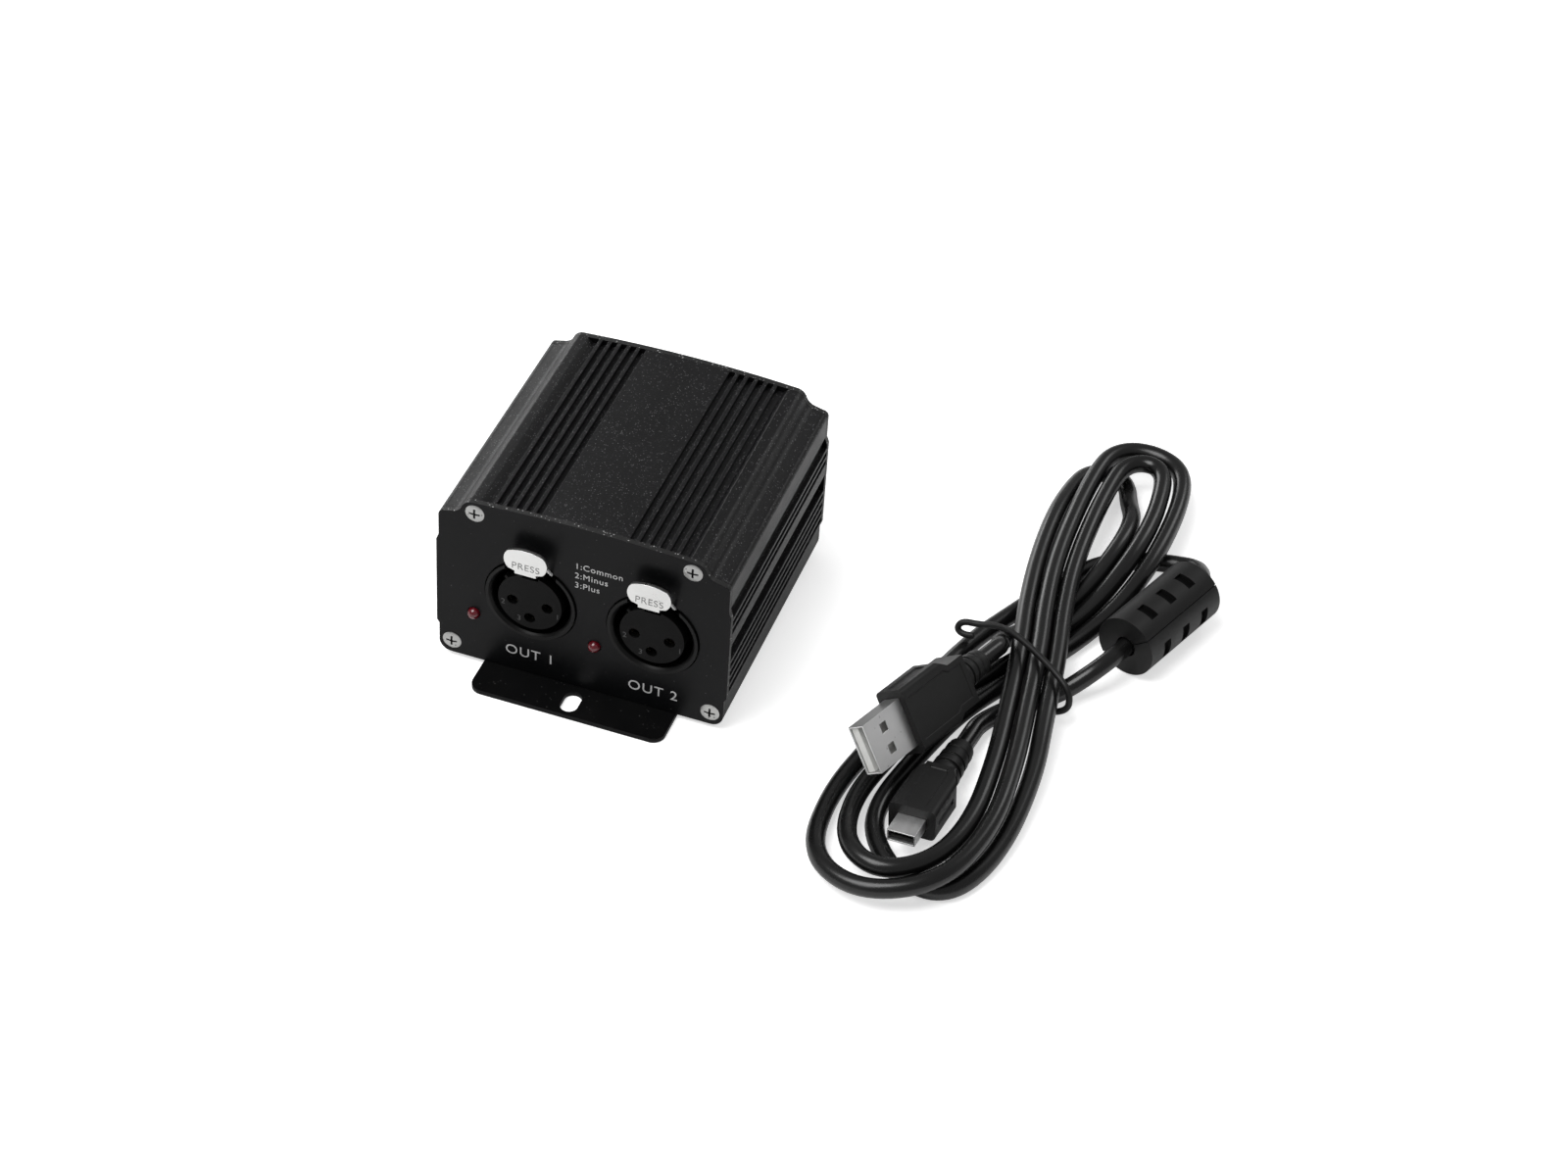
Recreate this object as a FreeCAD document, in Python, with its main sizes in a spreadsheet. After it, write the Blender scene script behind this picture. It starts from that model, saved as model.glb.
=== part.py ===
import FreeCAD, Part
import math
import os
import Sketcher

# A stage-lighting interface box with two 3-pole sockets, its mounting bracket and its USB lead.
# X runs across the box, Y from its front to its rear and Z up, with the origin on the surface
# that the bracket stands on, under the middle of the box.

V = FreeCAD.Vector
X_AXIS = V(1, 0, 0)
Y_AXIS = V(0, 1, 0)
Z_AXIS = V(0, 0, 1)

doc = FreeCAD.newDocument("lighting_interface")
sheet = doc.addObject("Spreadsheet::Sheet", "sizes")
nodes = []


# Sizes that stay tied to their cells

class Size:
    """A number that also carries the expression of cells it comes from."""

    def __init__(self, text, value):
        self.text = text
        self.value = value

    def __add__(self, other):
        return Size(f"({self.text} + {text(other)})", self.value + number(other))

    def __radd__(self, other):
        return Size(f"({text(other)} + {self.text})", number(other) + self.value)

    def __sub__(self, other):
        return Size(f"({self.text} - {text(other)})", self.value - number(other))

    def __rsub__(self, other):
        return Size(f"({text(other)} - {self.text})", number(other) - self.value)

    def __mul__(self, other):
        return Size(f"({self.text} * {text(other)})", self.value * number(other))

    def __rmul__(self, other):
        return Size(f"({text(other)} * {self.text})", number(other) * self.value)

    def __truediv__(self, other):
        return Size(f"({self.text} / {text(other)})", self.value / number(other))

    def __neg__(self):
        return Size(f"(0 - {self.text})", -self.value)


def text(item):
    return item.text if isinstance(item, Size) else repr(item)


def number(item):
    return item.value if isinstance(item, Size) else item


def root(item):
    return Size(f"sqrt({item.text})", math.sqrt(item.value))


def size(name, value):
    """A driving size in a cell of its own."""
    cell = f"B{size.row}"
    sheet.set(f"A{size.row}", name.replace("_", " "))
    sheet.set(cell, repr(value))
    sheet.setAlias(cell, name)
    size.row += 1
    return Size(f"sizes.{name}", float(value))


size.row = 1


def bind(item, prop, value):
    if isinstance(value, Size):
        item.setExpression(prop, value.text)
    else:
        setattr(item, prop, value)


def place(item, corner, rotation=None):
    """Put an object at a corner given in sizes."""
    item.Placement = FreeCAD.Placement(V(*[number(c) for c in corner]), rotation or FreeCAD.Rotation())
    for axis, value in zip("xyz", corner):
        if isinstance(value, Size):
            item.setExpression(f"Placement.Base.{axis}", value.text)
    return item


# Driving sizes of the housing's section, heights from the housing's underside

box_width = size("box_width", 72.0)
box_height = size("box_height", 48.3)
housing_length = size("housing_length", 66.0)
plate_thickness = size("plate_thickness", 1.5)
bracket_thickness = size("bracket_thickness", 1.2)
side_step = size("side_step", 0.6)
foot_corner_radius = size("foot_corner_radius", 3.0)
foot_step_rise = size("foot_step_rise", 1.0)
foot_groove_depth = size("foot_groove_depth", 0.4)
shoulder_step_rise = size("shoulder_step_rise", 1.6)
shoulder_fall = size("shoulder_fall", 0.6)
crown_inset = size("crown_inset", 8.4)
shoulder_width = size("shoulder_width", 3.7)
shoulder_round = size("shoulder_round", 1.4)
crown_rise = size("crown_rise", 1.1)
wall = size("wall", 1.6)
floor_wall = size("floor_wall", 1.8)
roof_wall = size("roof_wall", 1.7)
lap_height = size("lap_height", 1.6)
lap_thickness = size("lap_thickness", 0.7)
seat_gap = size("seat_gap", 0.1)
rib_width = size("rib_width", 0.95)
rib_gap = size("rib_gap", 1.46)
rib_depth = size("rib_depth", 1.4)
rib_ramp = size("rib_ramp", 1.4)
rib_margin = size("rib_margin", 2.09)
rib_count = 5
fin_depth = size("fin_depth", 1.2)
recess_depth = size("recess_depth", 1.8)
upper_fin_count = 2
lower_fin_count = 5
overrun = size("overrun", 1.0)

# Driving sizes of the screws

screw_radius = size("screw_radius", 1.25)
screw_head_radius = size("screw_head_radius", 2.35)
screw_head_height = size("screw_head_height", 1.3)
screw_length = size("screw_length", 9.0)
screw_dome = size("screw_dome", 0.35)
screw_clearance = size("screw_clearance", 0.15)
thread_clearance = size("thread_clearance", 0.04)
recess_arm = size("recess_arm", 1.35)
recess_slot = size("recess_slot", 0.5)
recess_drop = size("recess_drop", 0.9)
lower_screw_height = size("lower_screw_height", 3.6)
upper_screw_inset = size("upper_screw_inset", 9.6)
lower_screw_inset = size("lower_screw_inset", 3.8)
port_margin = size("port_margin", 2.8)
sink_gap = size("sink_gap", 0.05)

# Driving sizes of the bracket

bracket_width = size("bracket_width", 48.0)
flange_length = size("flange_length", 10.0)
bracket_corner = size("bracket_corner", 3.0)
slot_width = size("slot_width", 4.2)
slot_length = size("slot_length", 6.8)
slot_setback = size("slot_setback", 5.4)
bracket_screw_radius = size("bracket_screw_radius", 1.5)
bracket_head_radius = size("bracket_head_radius", 2.6)
bracket_screw_length = size("bracket_screw_length", 6.0)
bracket_screw_x = size("bracket_screw_x", 18.0)
bracket_screw_y = size("bracket_screw_y", 22.0)

# Driving sizes of the board

board_thickness = size("board_thickness", 1.6)
board_end_gap = size("board_end_gap", 0.5)
board_side_gap = size("board_side_gap", 0.3)
board_ledge = size("board_ledge", 2.2)
board_rail = size("board_rail", 1.2)
board_clearance = size("board_clearance", 0.1)

# Driving sizes of the 3-pole sockets, depths from the front plate's face

plate_hole_radius = size("plate_hole_radius", 11.4)
collar_radius = size("collar_radius", 11.1)
collar_proud = size("collar_proud", 0.5)
groove_radius = size("groove_radius", 9.75)
mouth_radius = size("mouth_radius", 10.35)
mouth_depth = size("mouth_depth", 0.7)
insert_radius = size("insert_radius", 7.85)
insert_proud = size("insert_proud", 0.6)
groove_depth = size("groove_depth", 14.0)
insert_base = size("insert_base", 4.0)
socket_block_width = size("socket_block_width", 23.2)
socket_block_top = size("socket_block_top", 12.6)
socket_block_depth = size("socket_block_depth", 21.0)
contact_spread = size("contact_spread", 4.3)
contact_side_drop = size("contact_side_drop", 0.5)
contact_low_drop = size("contact_low_drop", 4.75)
contact_hole_radius = size("contact_hole_radius", 1.38)
contact_hole_depth = size("contact_hole_depth", 1.4)
contact_radius = size("contact_radius", 1.65)
contact_bore = size("contact_bore", 1.2)
contact_bore_depth = size("contact_bore_depth", 11.0)
tail_radius = size("tail_radius", 0.4)
tail_reach = size("tail_reach", 1.0)
tail_drop = size("tail_drop", 1.2)
tail_clearance = size("tail_clearance", 0.1)
tail_slot_margin = size("tail_slot_margin", 0.9)
insert_notch_width = size("insert_notch_width", 4.0)
insert_notch_depth = size("insert_notch_depth", 0.9)
insert_notch_length = size("insert_notch_length", 11.0)
key_width = size("key_width", 0.7)
key_height = size("key_height", 0.8)
key_length = size("key_length", 13.0)

# Driving sizes of the latch, depths from the front plate's face, heights from the socket's axis

tab_half_width = size("tab_half_width", 5.3)
tab_half_height = size("tab_half_height", 3.35)
tab_height = size("tab_height", 14.45)
tab_proud = size("tab_proud", 3.7)
tab_thickness = size("tab_thickness", 0.9)
tab_crown = size("tab_crown", 0.75)
tab_side_crown = size("tab_side_crown", 1.1)
lip_drop = size("lip_drop", 0.5)
neck_width = size("neck_width", 5.2)
neck_thickness = size("neck_thickness", 0.7)
neck_height = size("neck_height", 10.0)
neck_bend = size("neck_bend", 0.9)
pivot_depth = size("pivot_depth", 3.9)
pivot_height = size("pivot_height", 11.0)
pivot_radius = size("pivot_radius", 0.55)
pivot_clearance = size("pivot_clearance", 0.05)
pivot_length = size("pivot_length", 9.4)
barrel_radius = size("barrel_radius", 1.1)
hook_depth = size("hook_depth", 9.8)
hook_length = size("hook_length", 1.4)
hook_lead = size("hook_lead", 0.7)
hook_tip_height = size("hook_tip_height", 8.8)
latch_slot_clearance = size("latch_slot_clearance", 0.4)
latch_slot_end = size("latch_slot_end", 10.8)
latch_slot_height = size("latch_slot_height", 8.6)
window_half_width = size("window_half_width", 6.3)
window_height = size("window_height", 8.2)
wire_radius = size("wire_radius", 0.35)
wire_half_width = size("wire_half_width", 4.9)
wire_top_height = size("wire_top_height", 12.9)
wire_end_depth = size("wire_end_depth", 0.3)
wire_end_height = size("wire_end_height", 9.4)

# Driving sizes of the indicator lamps

lamp_radius = size("lamp_radius", 1.5)
lamp_proud = size("lamp_proud", 1.6)
lamp_length = size("lamp_length", 5.8)
lamp_rim = size("lamp_rim", 0.4)
lamp_rim_length = size("lamp_rim_length", 1.0)
lamp_lead_radius = size("lamp_lead_radius", 0.25)
lamp_lead_spread = size("lamp_lead_spread", 1.27)
lamp_lead_reach = size("lamp_lead_reach", 3.0)
lamp_clearance = size("lamp_clearance", 0.1)
lamp_holder_width = size("lamp_holder_width", 4.4)

# Driving sizes of the mini socket at the rear

jack_width = size("jack_width", 7.7)
jack_height = size("jack_height", 3.9)
jack_depth = size("jack_depth", 9.2)
jack_wall = size("jack_wall", 0.35)
jack_chamfer = size("jack_chamfer", 1.0)
jack_back = size("jack_back", 1.5)
jack_opening_gap = size("jack_opening_gap", 0.5)
jack_tongue_width = size("jack_tongue_width", 4.9)
jack_tongue_thickness = size("jack_tongue_thickness", 0.8)
jack_tongue_length = size("jack_tongue_length", 5.5)
jack_contact_width = size("jack_contact_width", 0.35)
jack_contact_thickness = size("jack_contact_thickness", 0.12)
jack_contact_length = size("jack_contact_length", 4.6)
jack_contact_pitch = size("jack_contact_pitch", 0.8)
jack_contact_count = 5

# Driving sizes of the parts on the board, places from the front plate's face and the middle

controller_side = size("controller_side", 10.0)
controller_height = size("controller_height", 1.2)
controller_depth = size("controller_depth", 40.0)
chip_length = size("chip_length", 5.0)
chip_width = size("chip_width", 4.0)
chip_height = size("chip_height", 1.5)
driver_depth = size("driver_depth", 29.5)
isolator_depth = size("isolator_depth", 37.0)
isolator_x = size("isolator_x", 20.0)
bridge_side = size("bridge_side", 5.0)
bridge_depth = size("bridge_depth", 51.0)
crystal_length = size("crystal_length", 11.0)
crystal_width = size("crystal_width", 4.6)
crystal_height = size("crystal_height", 3.5)
crystal_x = size("crystal_x", 12.0)
crystal_base = size("crystal_base", 0.5)
crystal_rim = size("crystal_rim", 0.4)
capacitor_radius = size("capacitor_radius", 3.15)
capacitor_height = size("capacitor_height", 7.0)
capacitor_inset = size("capacitor_inset", 10.3)
capacitor_depth = size("capacitor_depth", 54.0)
resistor_length = size("resistor_length", 2.0)
resistor_width = size("resistor_width", 1.25)
resistor_height = size("resistor_height", 0.5)
resistor_pitch = size("resistor_pitch", 3.2)
resistor_depth = size("resistor_depth", 46.5)
resistor_count = 6

# Driving sizes of the USB lead, its plugs, its ferrite and its tie

cord_radius = size("cord_radius", 2.25)
tie_radius = size("tie_radius", 0.6)
host_shell_width = size("host_shell_width", 12.0)
host_shell_height = size("host_shell_height", 4.5)
host_shell_length = size("host_shell_length", 14.0)
host_shell_root = size("host_shell_root", 6.0)
host_shell_wall = size("host_shell_wall", 0.35)
host_window_width = size("host_window_width", 2.3)
host_window_depth = size("host_window_depth", 5.2)
host_window_spread = size("host_window_spread", 2.6)
host_tongue_height = size("host_tongue_height", 1.9)
host_tongue_setback = size("host_tongue_setback", 0.5)
host_body_width = size("host_body_width", 16.0)
host_body_height = size("host_body_height", 8.0)
host_body_length = size("host_body_length", 23.0)
host_body_round = size("host_body_round", 1.2)
host_shoulder_start = size("host_shoulder_start", 14.0)
host_shoulder_run = size("host_shoulder_run", 3.2)
host_shoulder_inset = size("host_shoulder_inset", 2.2)
host_relief_length = size("host_relief_length", 9.0)
device_shell_width = size("device_shell_width", 6.8)
device_shell_height = size("device_shell_height", 3.0)
device_shell_length = size("device_shell_length", 6.5)
device_shell_root = size("device_shell_root", 4.0)
device_shell_wall = size("device_shell_wall", 0.3)
device_tongue_height = size("device_tongue_height", 1.0)
device_tongue_setback = size("device_tongue_setback", 1.0)
device_body_width = size("device_body_width", 11.4)
device_body_height = size("device_body_height", 8.0)
device_body_length = size("device_body_length", 17.5)
device_body_round = size("device_body_round", 1.4)
device_shoulder_start = size("device_shoulder_start", 12.5)
device_shoulder_run = size("device_shoulder_run", 4.0)
device_shoulder_inset = size("device_shoulder_inset", 2.2)
device_relief_length = size("device_relief_length", 12.0)
tongue_gap = size("tongue_gap", 0.1)
relief_root_radius = size("relief_root_radius", 3.9)
relief_tip_radius = size("relief_tip_radius", 3.1)
relief_ring_depth = size("relief_ring_depth", 0.7)
relief_ring_share = 0.6
relief_ring_count = 4
ferrite_radius = size("ferrite_radius", 7.75)
ferrite_length = size("ferrite_length", 28.0)
ferrite_wall = size("ferrite_wall", 1.5)
ferrite_seam = size("ferrite_seam", 0.2)
ferrite_hole_gap = size("ferrite_hole_gap", 0.35)
ferrite_core_gap = size("ferrite_core_gap", 0.15)
ferrite_window_width = size("ferrite_window_width", 4.6)
ferrite_window_length = size("ferrite_window_length", 2.6)
ferrite_window_pitch = size("ferrite_window_pitch", 7.6)
ferrite_window_depth = size("ferrite_window_depth", 1.1)

# Shares of the box's height and of its width

foot_step_share = 80 / 483
foot_band_share = 76 / 483
shoulder_step_share = 337 / 483
shoulder_share = 867 / 966
top_fin_share = 327 / 483
lower_fin_share = 196 / 483
seam_share = 216 / 483
fin_width_share = 92 / 4830
fin_gap_share = 15 / 483
shoulder_groove_share = 30 / 483
middle_land_share = 306 / 4830
upper_screw_share = 443 / 483
board_share = 87 / 483
socket_height_share = 226 / 483
lamp_height_share = 141 / 483
socket_middle_share = 5 / 144
socket_spacing_share = 5 / 12
lamp_offset_share = 47 / 100

# Places that follow from the driving sizes

foot_step_height = box_height * foot_step_share
foot_band_height = box_height * foot_band_share
shoulder_step_height = box_height * shoulder_step_share
shoulder_height = box_height * shoulder_share
top_fin_height = box_height * top_fin_share
lower_fin_height = box_height * lower_fin_share
seam_height = box_height * seam_share
fin_width = box_height * fin_width_share
fin_gap = box_height * fin_gap_share
shoulder_groove = box_height * shoulder_groove_share
middle_land = box_height * middle_land_share
upper_screw_height = box_height * upper_screw_share
board_height = box_height * board_share
socket_height = box_height * socket_height_share
lamp_height = box_height * lamp_height_share
socket_middle = box_width * socket_middle_share
socket_spacing = box_width * socket_spacing_share
lamp_offset = socket_spacing * lamp_offset_share
base = bracket_thickness
half_width = box_width / 2
flank = half_width - side_step
crown_half_width = half_width - crown_inset
panel_half_width = crown_half_width - rib_margin - rib_ramp - rib_gap - rib_count * (rib_width + rib_gap)
upper_screw_x = half_width - upper_screw_inset
lower_screw_x = half_width - lower_screw_inset
board_half_width = half_width - recess_depth - wall - board_side_gap
capacitor_x = board_half_width - capacitor_inset
front_face = -(housing_length / 2 + plate_thickness)
rear_face = housing_length / 2 + plate_thickness
socket_z = base + socket_height
socket_x = {"a": socket_middle - socket_spacing / 2, "b": socket_middle + socket_spacing / 2}
board_top = base + board_height + board_thickness


# Outlines

class Outline:
    """Points in order, with an arc's radius where the edge that leaves a point is an arc."""

    def __init__(self, points, radii=None):
        self.points = list(points)
        self.radii = radii or [None] * len(self.points)

    def line_to(self, x, z):
        self.points.append((x, z))
        self.radii.append(None)

    def arc_to(self, x, z, radius):
        """An arc from the last point; a positive radius turns left, a negative one right."""
        self.radii[-1] = radius
        self.points.append((x, z))
        self.radii.append(None)

    def mirrored(self, closing_radius=None):
        """The whole outline from its right half, with an arc across the middle if a radius is given."""
        left = [(-x, z) for x, z in reversed(self.points)]
        radii = self.radii[:-1] + [closing_radius] + list(reversed(self.radii[:-1])) + [None]
        return Outline(self.points + left, radii)


def chord_radius(start, end, share):
    """The radius of an arc that is a share of its chord."""
    across = start[0] - end[0]
    up = start[1] - end[1]
    return root(across * across + up * up) * share


def rise_radius(half, rise):
    """The radius of an arc from its half chord and its rise."""
    return (half * half + rise * rise) / (2 * rise)


def draw(sketch, outline):
    """Draw a closed outline and tie every corner and radius to the sheet."""
    count = len(outline.points)
    first = sketch.GeometryCount
    ends = []
    edges = []
    for index in range(count):
        start = [number(c) for c in outline.points[index]]
        end = [number(c) for c in outline.points[(index + 1) % count]]
        radius = outline.radii[index]
        if radius is None:
            edges.append(Part.LineSegment(V(*start, 0), V(*end, 0)))
            ends.append((1, 2))
        else:
            edges.append(arc_between(start, end, number(radius)))
            ends.append((1, 2) if number(radius) > 0 else (2, 1))
    sketch.addGeometry(edges, False)
    ties = []
    for index in range(count):
        after = (index + 1) % count
        edge = first + index
        ties.append((("Coincident", edge, ends[index][1], first + after, ends[after][0]), None))
        ties += point_ties(edge, ends[index][0], outline.points[index])
        radius = outline.radii[index]
        if radius is not None:
            ties.append((("Radius", edge), radius if number(radius) > 0 else -radius))
    tie(sketch, ties)


def draw_circle(sketch, x, z, radius):
    edge = sketch.addGeometry(Part.Circle(V(number(x), number(z), 0), Z_AXIS, number(radius)))
    tie(sketch, point_ties(edge, 3, (x, z)) + [(("Radius", edge), radius)])


def point_ties(edge, end, point):
    """Constraints that hold one point of an edge at its two sizes."""
    ties = []
    for kind, value, axis in (("DistanceX", point[0], -2), ("DistanceY", point[1], -1)):
        if isinstance(value, Size):
            ties.append(((kind, edge, end), value))
        else:
            ties.append((("PointOnObject", edge, end, axis), None))
    return ties


def tie(sketch, ties):
    """Add the constraints together, then bind those that have a size."""
    rows = [Sketcher.Constraint(*kind, value.value) if value else Sketcher.Constraint(*kind)
            for kind, value in ties]
    indices = sketch.addConstraint(rows)
    for index, (kind, value) in zip(indices, ties):
        if value:
            sketch.setExpression(f"Constraints[{index}]", value.text)


def arc_between(start, end, radius):
    """The short arc from start to end, left-turning for a positive radius."""
    middle = V((start[0] + end[0]) / 2, (start[1] + end[1]) / 2, 0)
    chord = V(end[0] - start[0], end[1] - start[1], 0)
    height = math.sqrt(max(radius * radius - chord.Length ** 2 / 4, 0))
    side = V(-chord.y, chord.x, 0).normalize() * math.copysign(height, radius)
    centre = middle + side
    angles = [math.atan2(p[1] - centre.y, p[0] - centre.x) for p in (start, end)]
    if radius < 0:
        angles.reverse()
    return Part.ArcOfCircle(Part.Circle(centre, Z_AXIS, abs(radius)), angles[0], angles[1])


# Features

def new_body(name):
    return doc.addObject("PartDesign::Body", name)


def new_sketch(body, name, role):
    sketch = body.newObject("Sketcher::SketchObject", name)
    plane = [item for item in body.Origin.OriginFeatures if item.Role == role][0]
    sketch.AttachmentSupport = [(plane, "")]
    sketch.MapMode = "FlatFace"
    return sketch


def pad(body, sketch, length, name):
    """Raise a sketch by half the length to each side of its plane."""
    feature = body.newObject("PartDesign::Pad", name)
    feature.Profile = sketch
    feature.SideType = "Symmetric"
    bind(feature, "Length", length)
    return feature


def extruded(name, outlines, role, length, corner=(0, 0, 0)):
    """A body made of closed outlines raised evenly to both sides of an origin plane."""
    body = new_body(name)
    sketch = new_sketch(body, f"{name}_outline", role)
    for outline in outlines:
        if isinstance(outline, Outline):
            draw(sketch, outline)
        else:
            draw_circle(sketch, *outline)
    pad(body, sketch, length, f"{name}_pad")
    return place(body, corner)


def block(name, length, width, height, corner):
    item = doc.addObject("Part::Box", name)
    bind(item, "Length", length)
    bind(item, "Width", width)
    bind(item, "Height", height)
    return place(item, corner)


def cylinder(name, radius, height, corner, axis=Z_AXIS):
    item = doc.addObject("Part::Cylinder", name)
    bind(item, "Radius", radius)
    bind(item, "Height", height)
    return place(item, corner, FreeCAD.Rotation(Z_AXIS, axis))


def cone(name, first, last, height, corner, axis=Z_AXIS):
    item = doc.addObject("Part::Cone", name)
    bind(item, "Radius1", first)
    bind(item, "Radius2", last)
    bind(item, "Height", height)
    return place(item, corner, FreeCAD.Rotation(Z_AXIS, axis))


def ball(name, radius, centre):
    item = doc.addObject("Part::Sphere", name)
    bind(item, "Radius", radius)
    return place(item, centre)


def fused(name, items):
    item = doc.addObject("Part::MultiFuse", name)
    item.Shapes = items
    return item


def cut(name, whole, tools):
    item = doc.addObject("Part::Cut", name)
    item.Base = whole
    item.Tool = tools[0] if len(tools) == 1 else fused(f"{name}_tools", tools)
    return item


def shared(name, items):
    """What all the items have in common."""
    item = doc.addObject("Part::MultiCommon", name)
    item.Shapes = items
    return item


def group(name, items):
    """Separate solids in one node."""
    item = doc.addObject("Part::Compound", name)
    item.Links = items
    return item


def copies(item, name, places, rotation=None):
    """Links to one object, each at a place of its own."""
    links = []
    for index, corner in enumerate(places):
        link = doc.addObject("App::Link", f"{name}_{index}")
        link.LinkedObject = item
        links.append(place(link, corner, rotation))
    return links


def node(item, name):
    """Keep an object as one named sub-part."""
    item.Label = name
    nodes.append(item)
    return item


def box_around(name, centre_x, front, low, width, depth, height):
    """A block centred on a place across the box, given by its front and its underside."""
    return block(name, width, depth, height, (centre_x - width / 2, front, low))


# Housing

COVE_RADIUS_SHARE = 1.06
DIAGONAL_SHARE = math.sqrt(2) / 2


def crown(x):
    """Height of the crowned top at a distance from the middle."""
    return base + box_height - crown_rise * (x / crown_half_width) * (x / crown_half_width)


def deep(depth):
    """A place behind the front plate's face."""
    return front_face + depth


def lower_fin_top(index):
    return base + lower_fin_height - index * (fin_width + fin_gap)


def add_shoulder(outline):
    """Go on from the flank over the top corner and the swept step up to the crown."""
    land_height = base + shoulder_height - shoulder_fall
    foot = (flank - shoulder_width, base + shoulder_height)
    top = (crown_half_width, crown(crown_half_width))
    middle = ((foot[0] + top[0]) / 2, (foot[1] + top[1]) / 2)
    outline.line_to(flank, land_height - shoulder_round)
    outline.arc_to(flank - shoulder_round, land_height, shoulder_round)
    outline.line_to(*foot)
    outline.arc_to(*middle, -chord_radius(foot, middle, COVE_RADIUS_SHARE))
    outline.arc_to(*top, chord_radius(middle, top, COVE_RADIUS_SHARE))


def add_upper_fins(outline):
    """Go on from the middle land up over the fins to the groove under the shoulder."""
    floor = half_width - fin_depth
    for index in reversed(range(upper_fin_count)):
        top = base + top_fin_height - index * (fin_width + fin_gap)
        outline.line_to(floor, top - fin_width - fin_gap)
        outline.line_to(floor, top - fin_width)
        outline.line_to(half_width, top - fin_width)
        outline.line_to(half_width, top)
    outline.line_to(floor, base + top_fin_height)
    outline.line_to(floor, base + top_fin_height + shoulder_groove)
    outline.line_to(flank, base + top_fin_height + shoulder_groove)


def add_ribs(outline):
    """Go on from the shoulder over the ribs to the edge of the middle panel."""
    pitch = rib_width + rib_gap
    outer = panel_half_width + rib_count * pitch
    outline.line_to(outer + rib_gap + rib_ramp, crown(outer + rib_gap + rib_ramp))
    outline.line_to(outer + rib_gap, crown(outer + rib_gap) - rib_depth)
    for index in reversed(range(rib_count)):
        far = panel_half_width + (index + 1) * pitch
        outline.line_to(far, crown(far) - rib_depth)
        outline.line_to(far, crown(far))
        outline.line_to(far - rib_width, crown(far - rib_width))
        outline.line_to(far - rib_width, crown(far - rib_width) - rib_depth)
    outline.line_to(panel_half_width, crown(panel_half_width) - rib_depth)
    outline.line_to(panel_half_width, crown(panel_half_width))


def screw_ports(x, height):
    return [(side * x, base + height, screw_radius + thread_clearance) for side in (-1, 1)]


def make_upper_shell():
    seam = base + seam_height
    recess = half_width - recess_depth
    inner = recess - wall
    lap = inner + lap_thickness + seat_gap
    roof = crown(crown_half_width) - rib_depth - roof_wall
    port = base + upper_screw_height - port_margin
    land_top = base + top_fin_height - upper_fin_count * (fin_width + fin_gap)
    right = Outline([(upper_screw_x - port_margin, roof)])
    right.line_to(upper_screw_x - port_margin, port)
    right.line_to(inner - wall, port)
    right.line_to(inner, port - wall)
    right.line_to(inner, seam + lap_height + seat_gap)
    right.line_to(lap, seam + lap_height + seat_gap)
    right.line_to(lap, seam)
    right.line_to(recess, seam)
    right.line_to(recess, land_top - middle_land - recess_depth)
    right.arc_to(half_width, land_top - middle_land, recess_depth)
    right.line_to(half_width, land_top)
    add_upper_fins(right)
    add_shoulder(right)
    add_ribs(right)
    whole = right.mirrored(rise_radius(panel_half_width, (base + box_height) - crown(panel_half_width)))
    outlines = [whole] + screw_ports(upper_screw_x, upper_screw_height)
    node(extruded("upper_shell", outlines, "XZ_Plane", housing_length), "housing_upper")


def make_lower_shell():
    seam = base + seam_height
    recess = half_width - recess_depth
    inner = recess - wall
    floor = half_width - fin_depth
    slot_low = base + board_height - board_clearance
    slot_top = base + board_height + board_thickness + board_clearance
    foot = flank - foot_groove_depth
    post = lower_screw_x - port_margin
    right = Outline([(flank - foot_corner_radius, base)])
    right.arc_to(flank, base + foot_corner_radius, foot_corner_radius)
    right.line_to(flank, base + foot_band_height)
    right.line_to(foot, base + foot_band_height)
    right.line_to(foot, lower_fin_top(lower_fin_count - 1) - fin_width)
    for index in reversed(range(lower_fin_count)):
        right.line_to(half_width, lower_fin_top(index) - fin_width)
        right.line_to(half_width, lower_fin_top(index))
        if index:
            right.line_to(floor, lower_fin_top(index))
            right.line_to(floor, lower_fin_top(index - 1) - fin_width)
    right.line_to(recess, lower_fin_top(0))
    right.line_to(recess, seam)
    right.line_to(inner + lap_thickness, seam)
    right.line_to(inner + lap_thickness, seam + lap_height)
    right.line_to(inner, seam + lap_height)
    right.line_to(inner, slot_top + board_rail)
    right.line_to(inner - board_ledge, slot_top + board_rail)
    right.line_to(inner - board_ledge, slot_top)
    right.line_to(inner, slot_top)
    right.line_to(inner, slot_low)
    right.line_to(post, slot_low)
    right.line_to(post, base + floor_wall)
    outlines = [right.mirrored()] + screw_ports(lower_screw_x, lower_screw_height)
    body = extruded("lower_shell", outlines, "XZ_Plane", housing_length)
    holes = [cylinder(f"foot_hole_{index}", bracket_screw_radius + thread_clearance, floor_wall + 2 * overrun,
                      (x, y, base - overrun)) for index, (x, y) in enumerate(bracket_screw_places())]
    node(cut("lower_shell_drilled", body, holes), "housing_lower")


# End plates

def plate_outline():
    right = Outline([(flank - foot_corner_radius, base)])
    right.arc_to(flank, base + foot_corner_radius, foot_corner_radius)
    right.line_to(flank, base + foot_step_height)
    right.line_to(half_width, base + foot_step_height + foot_step_rise)
    right.line_to(half_width, base + shoulder_step_height)
    right.line_to(flank, base + shoulder_step_height + shoulder_step_rise)
    add_shoulder(right)
    return right.mirrored(rise_radius(crown_half_width, crown_rise))


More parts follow.
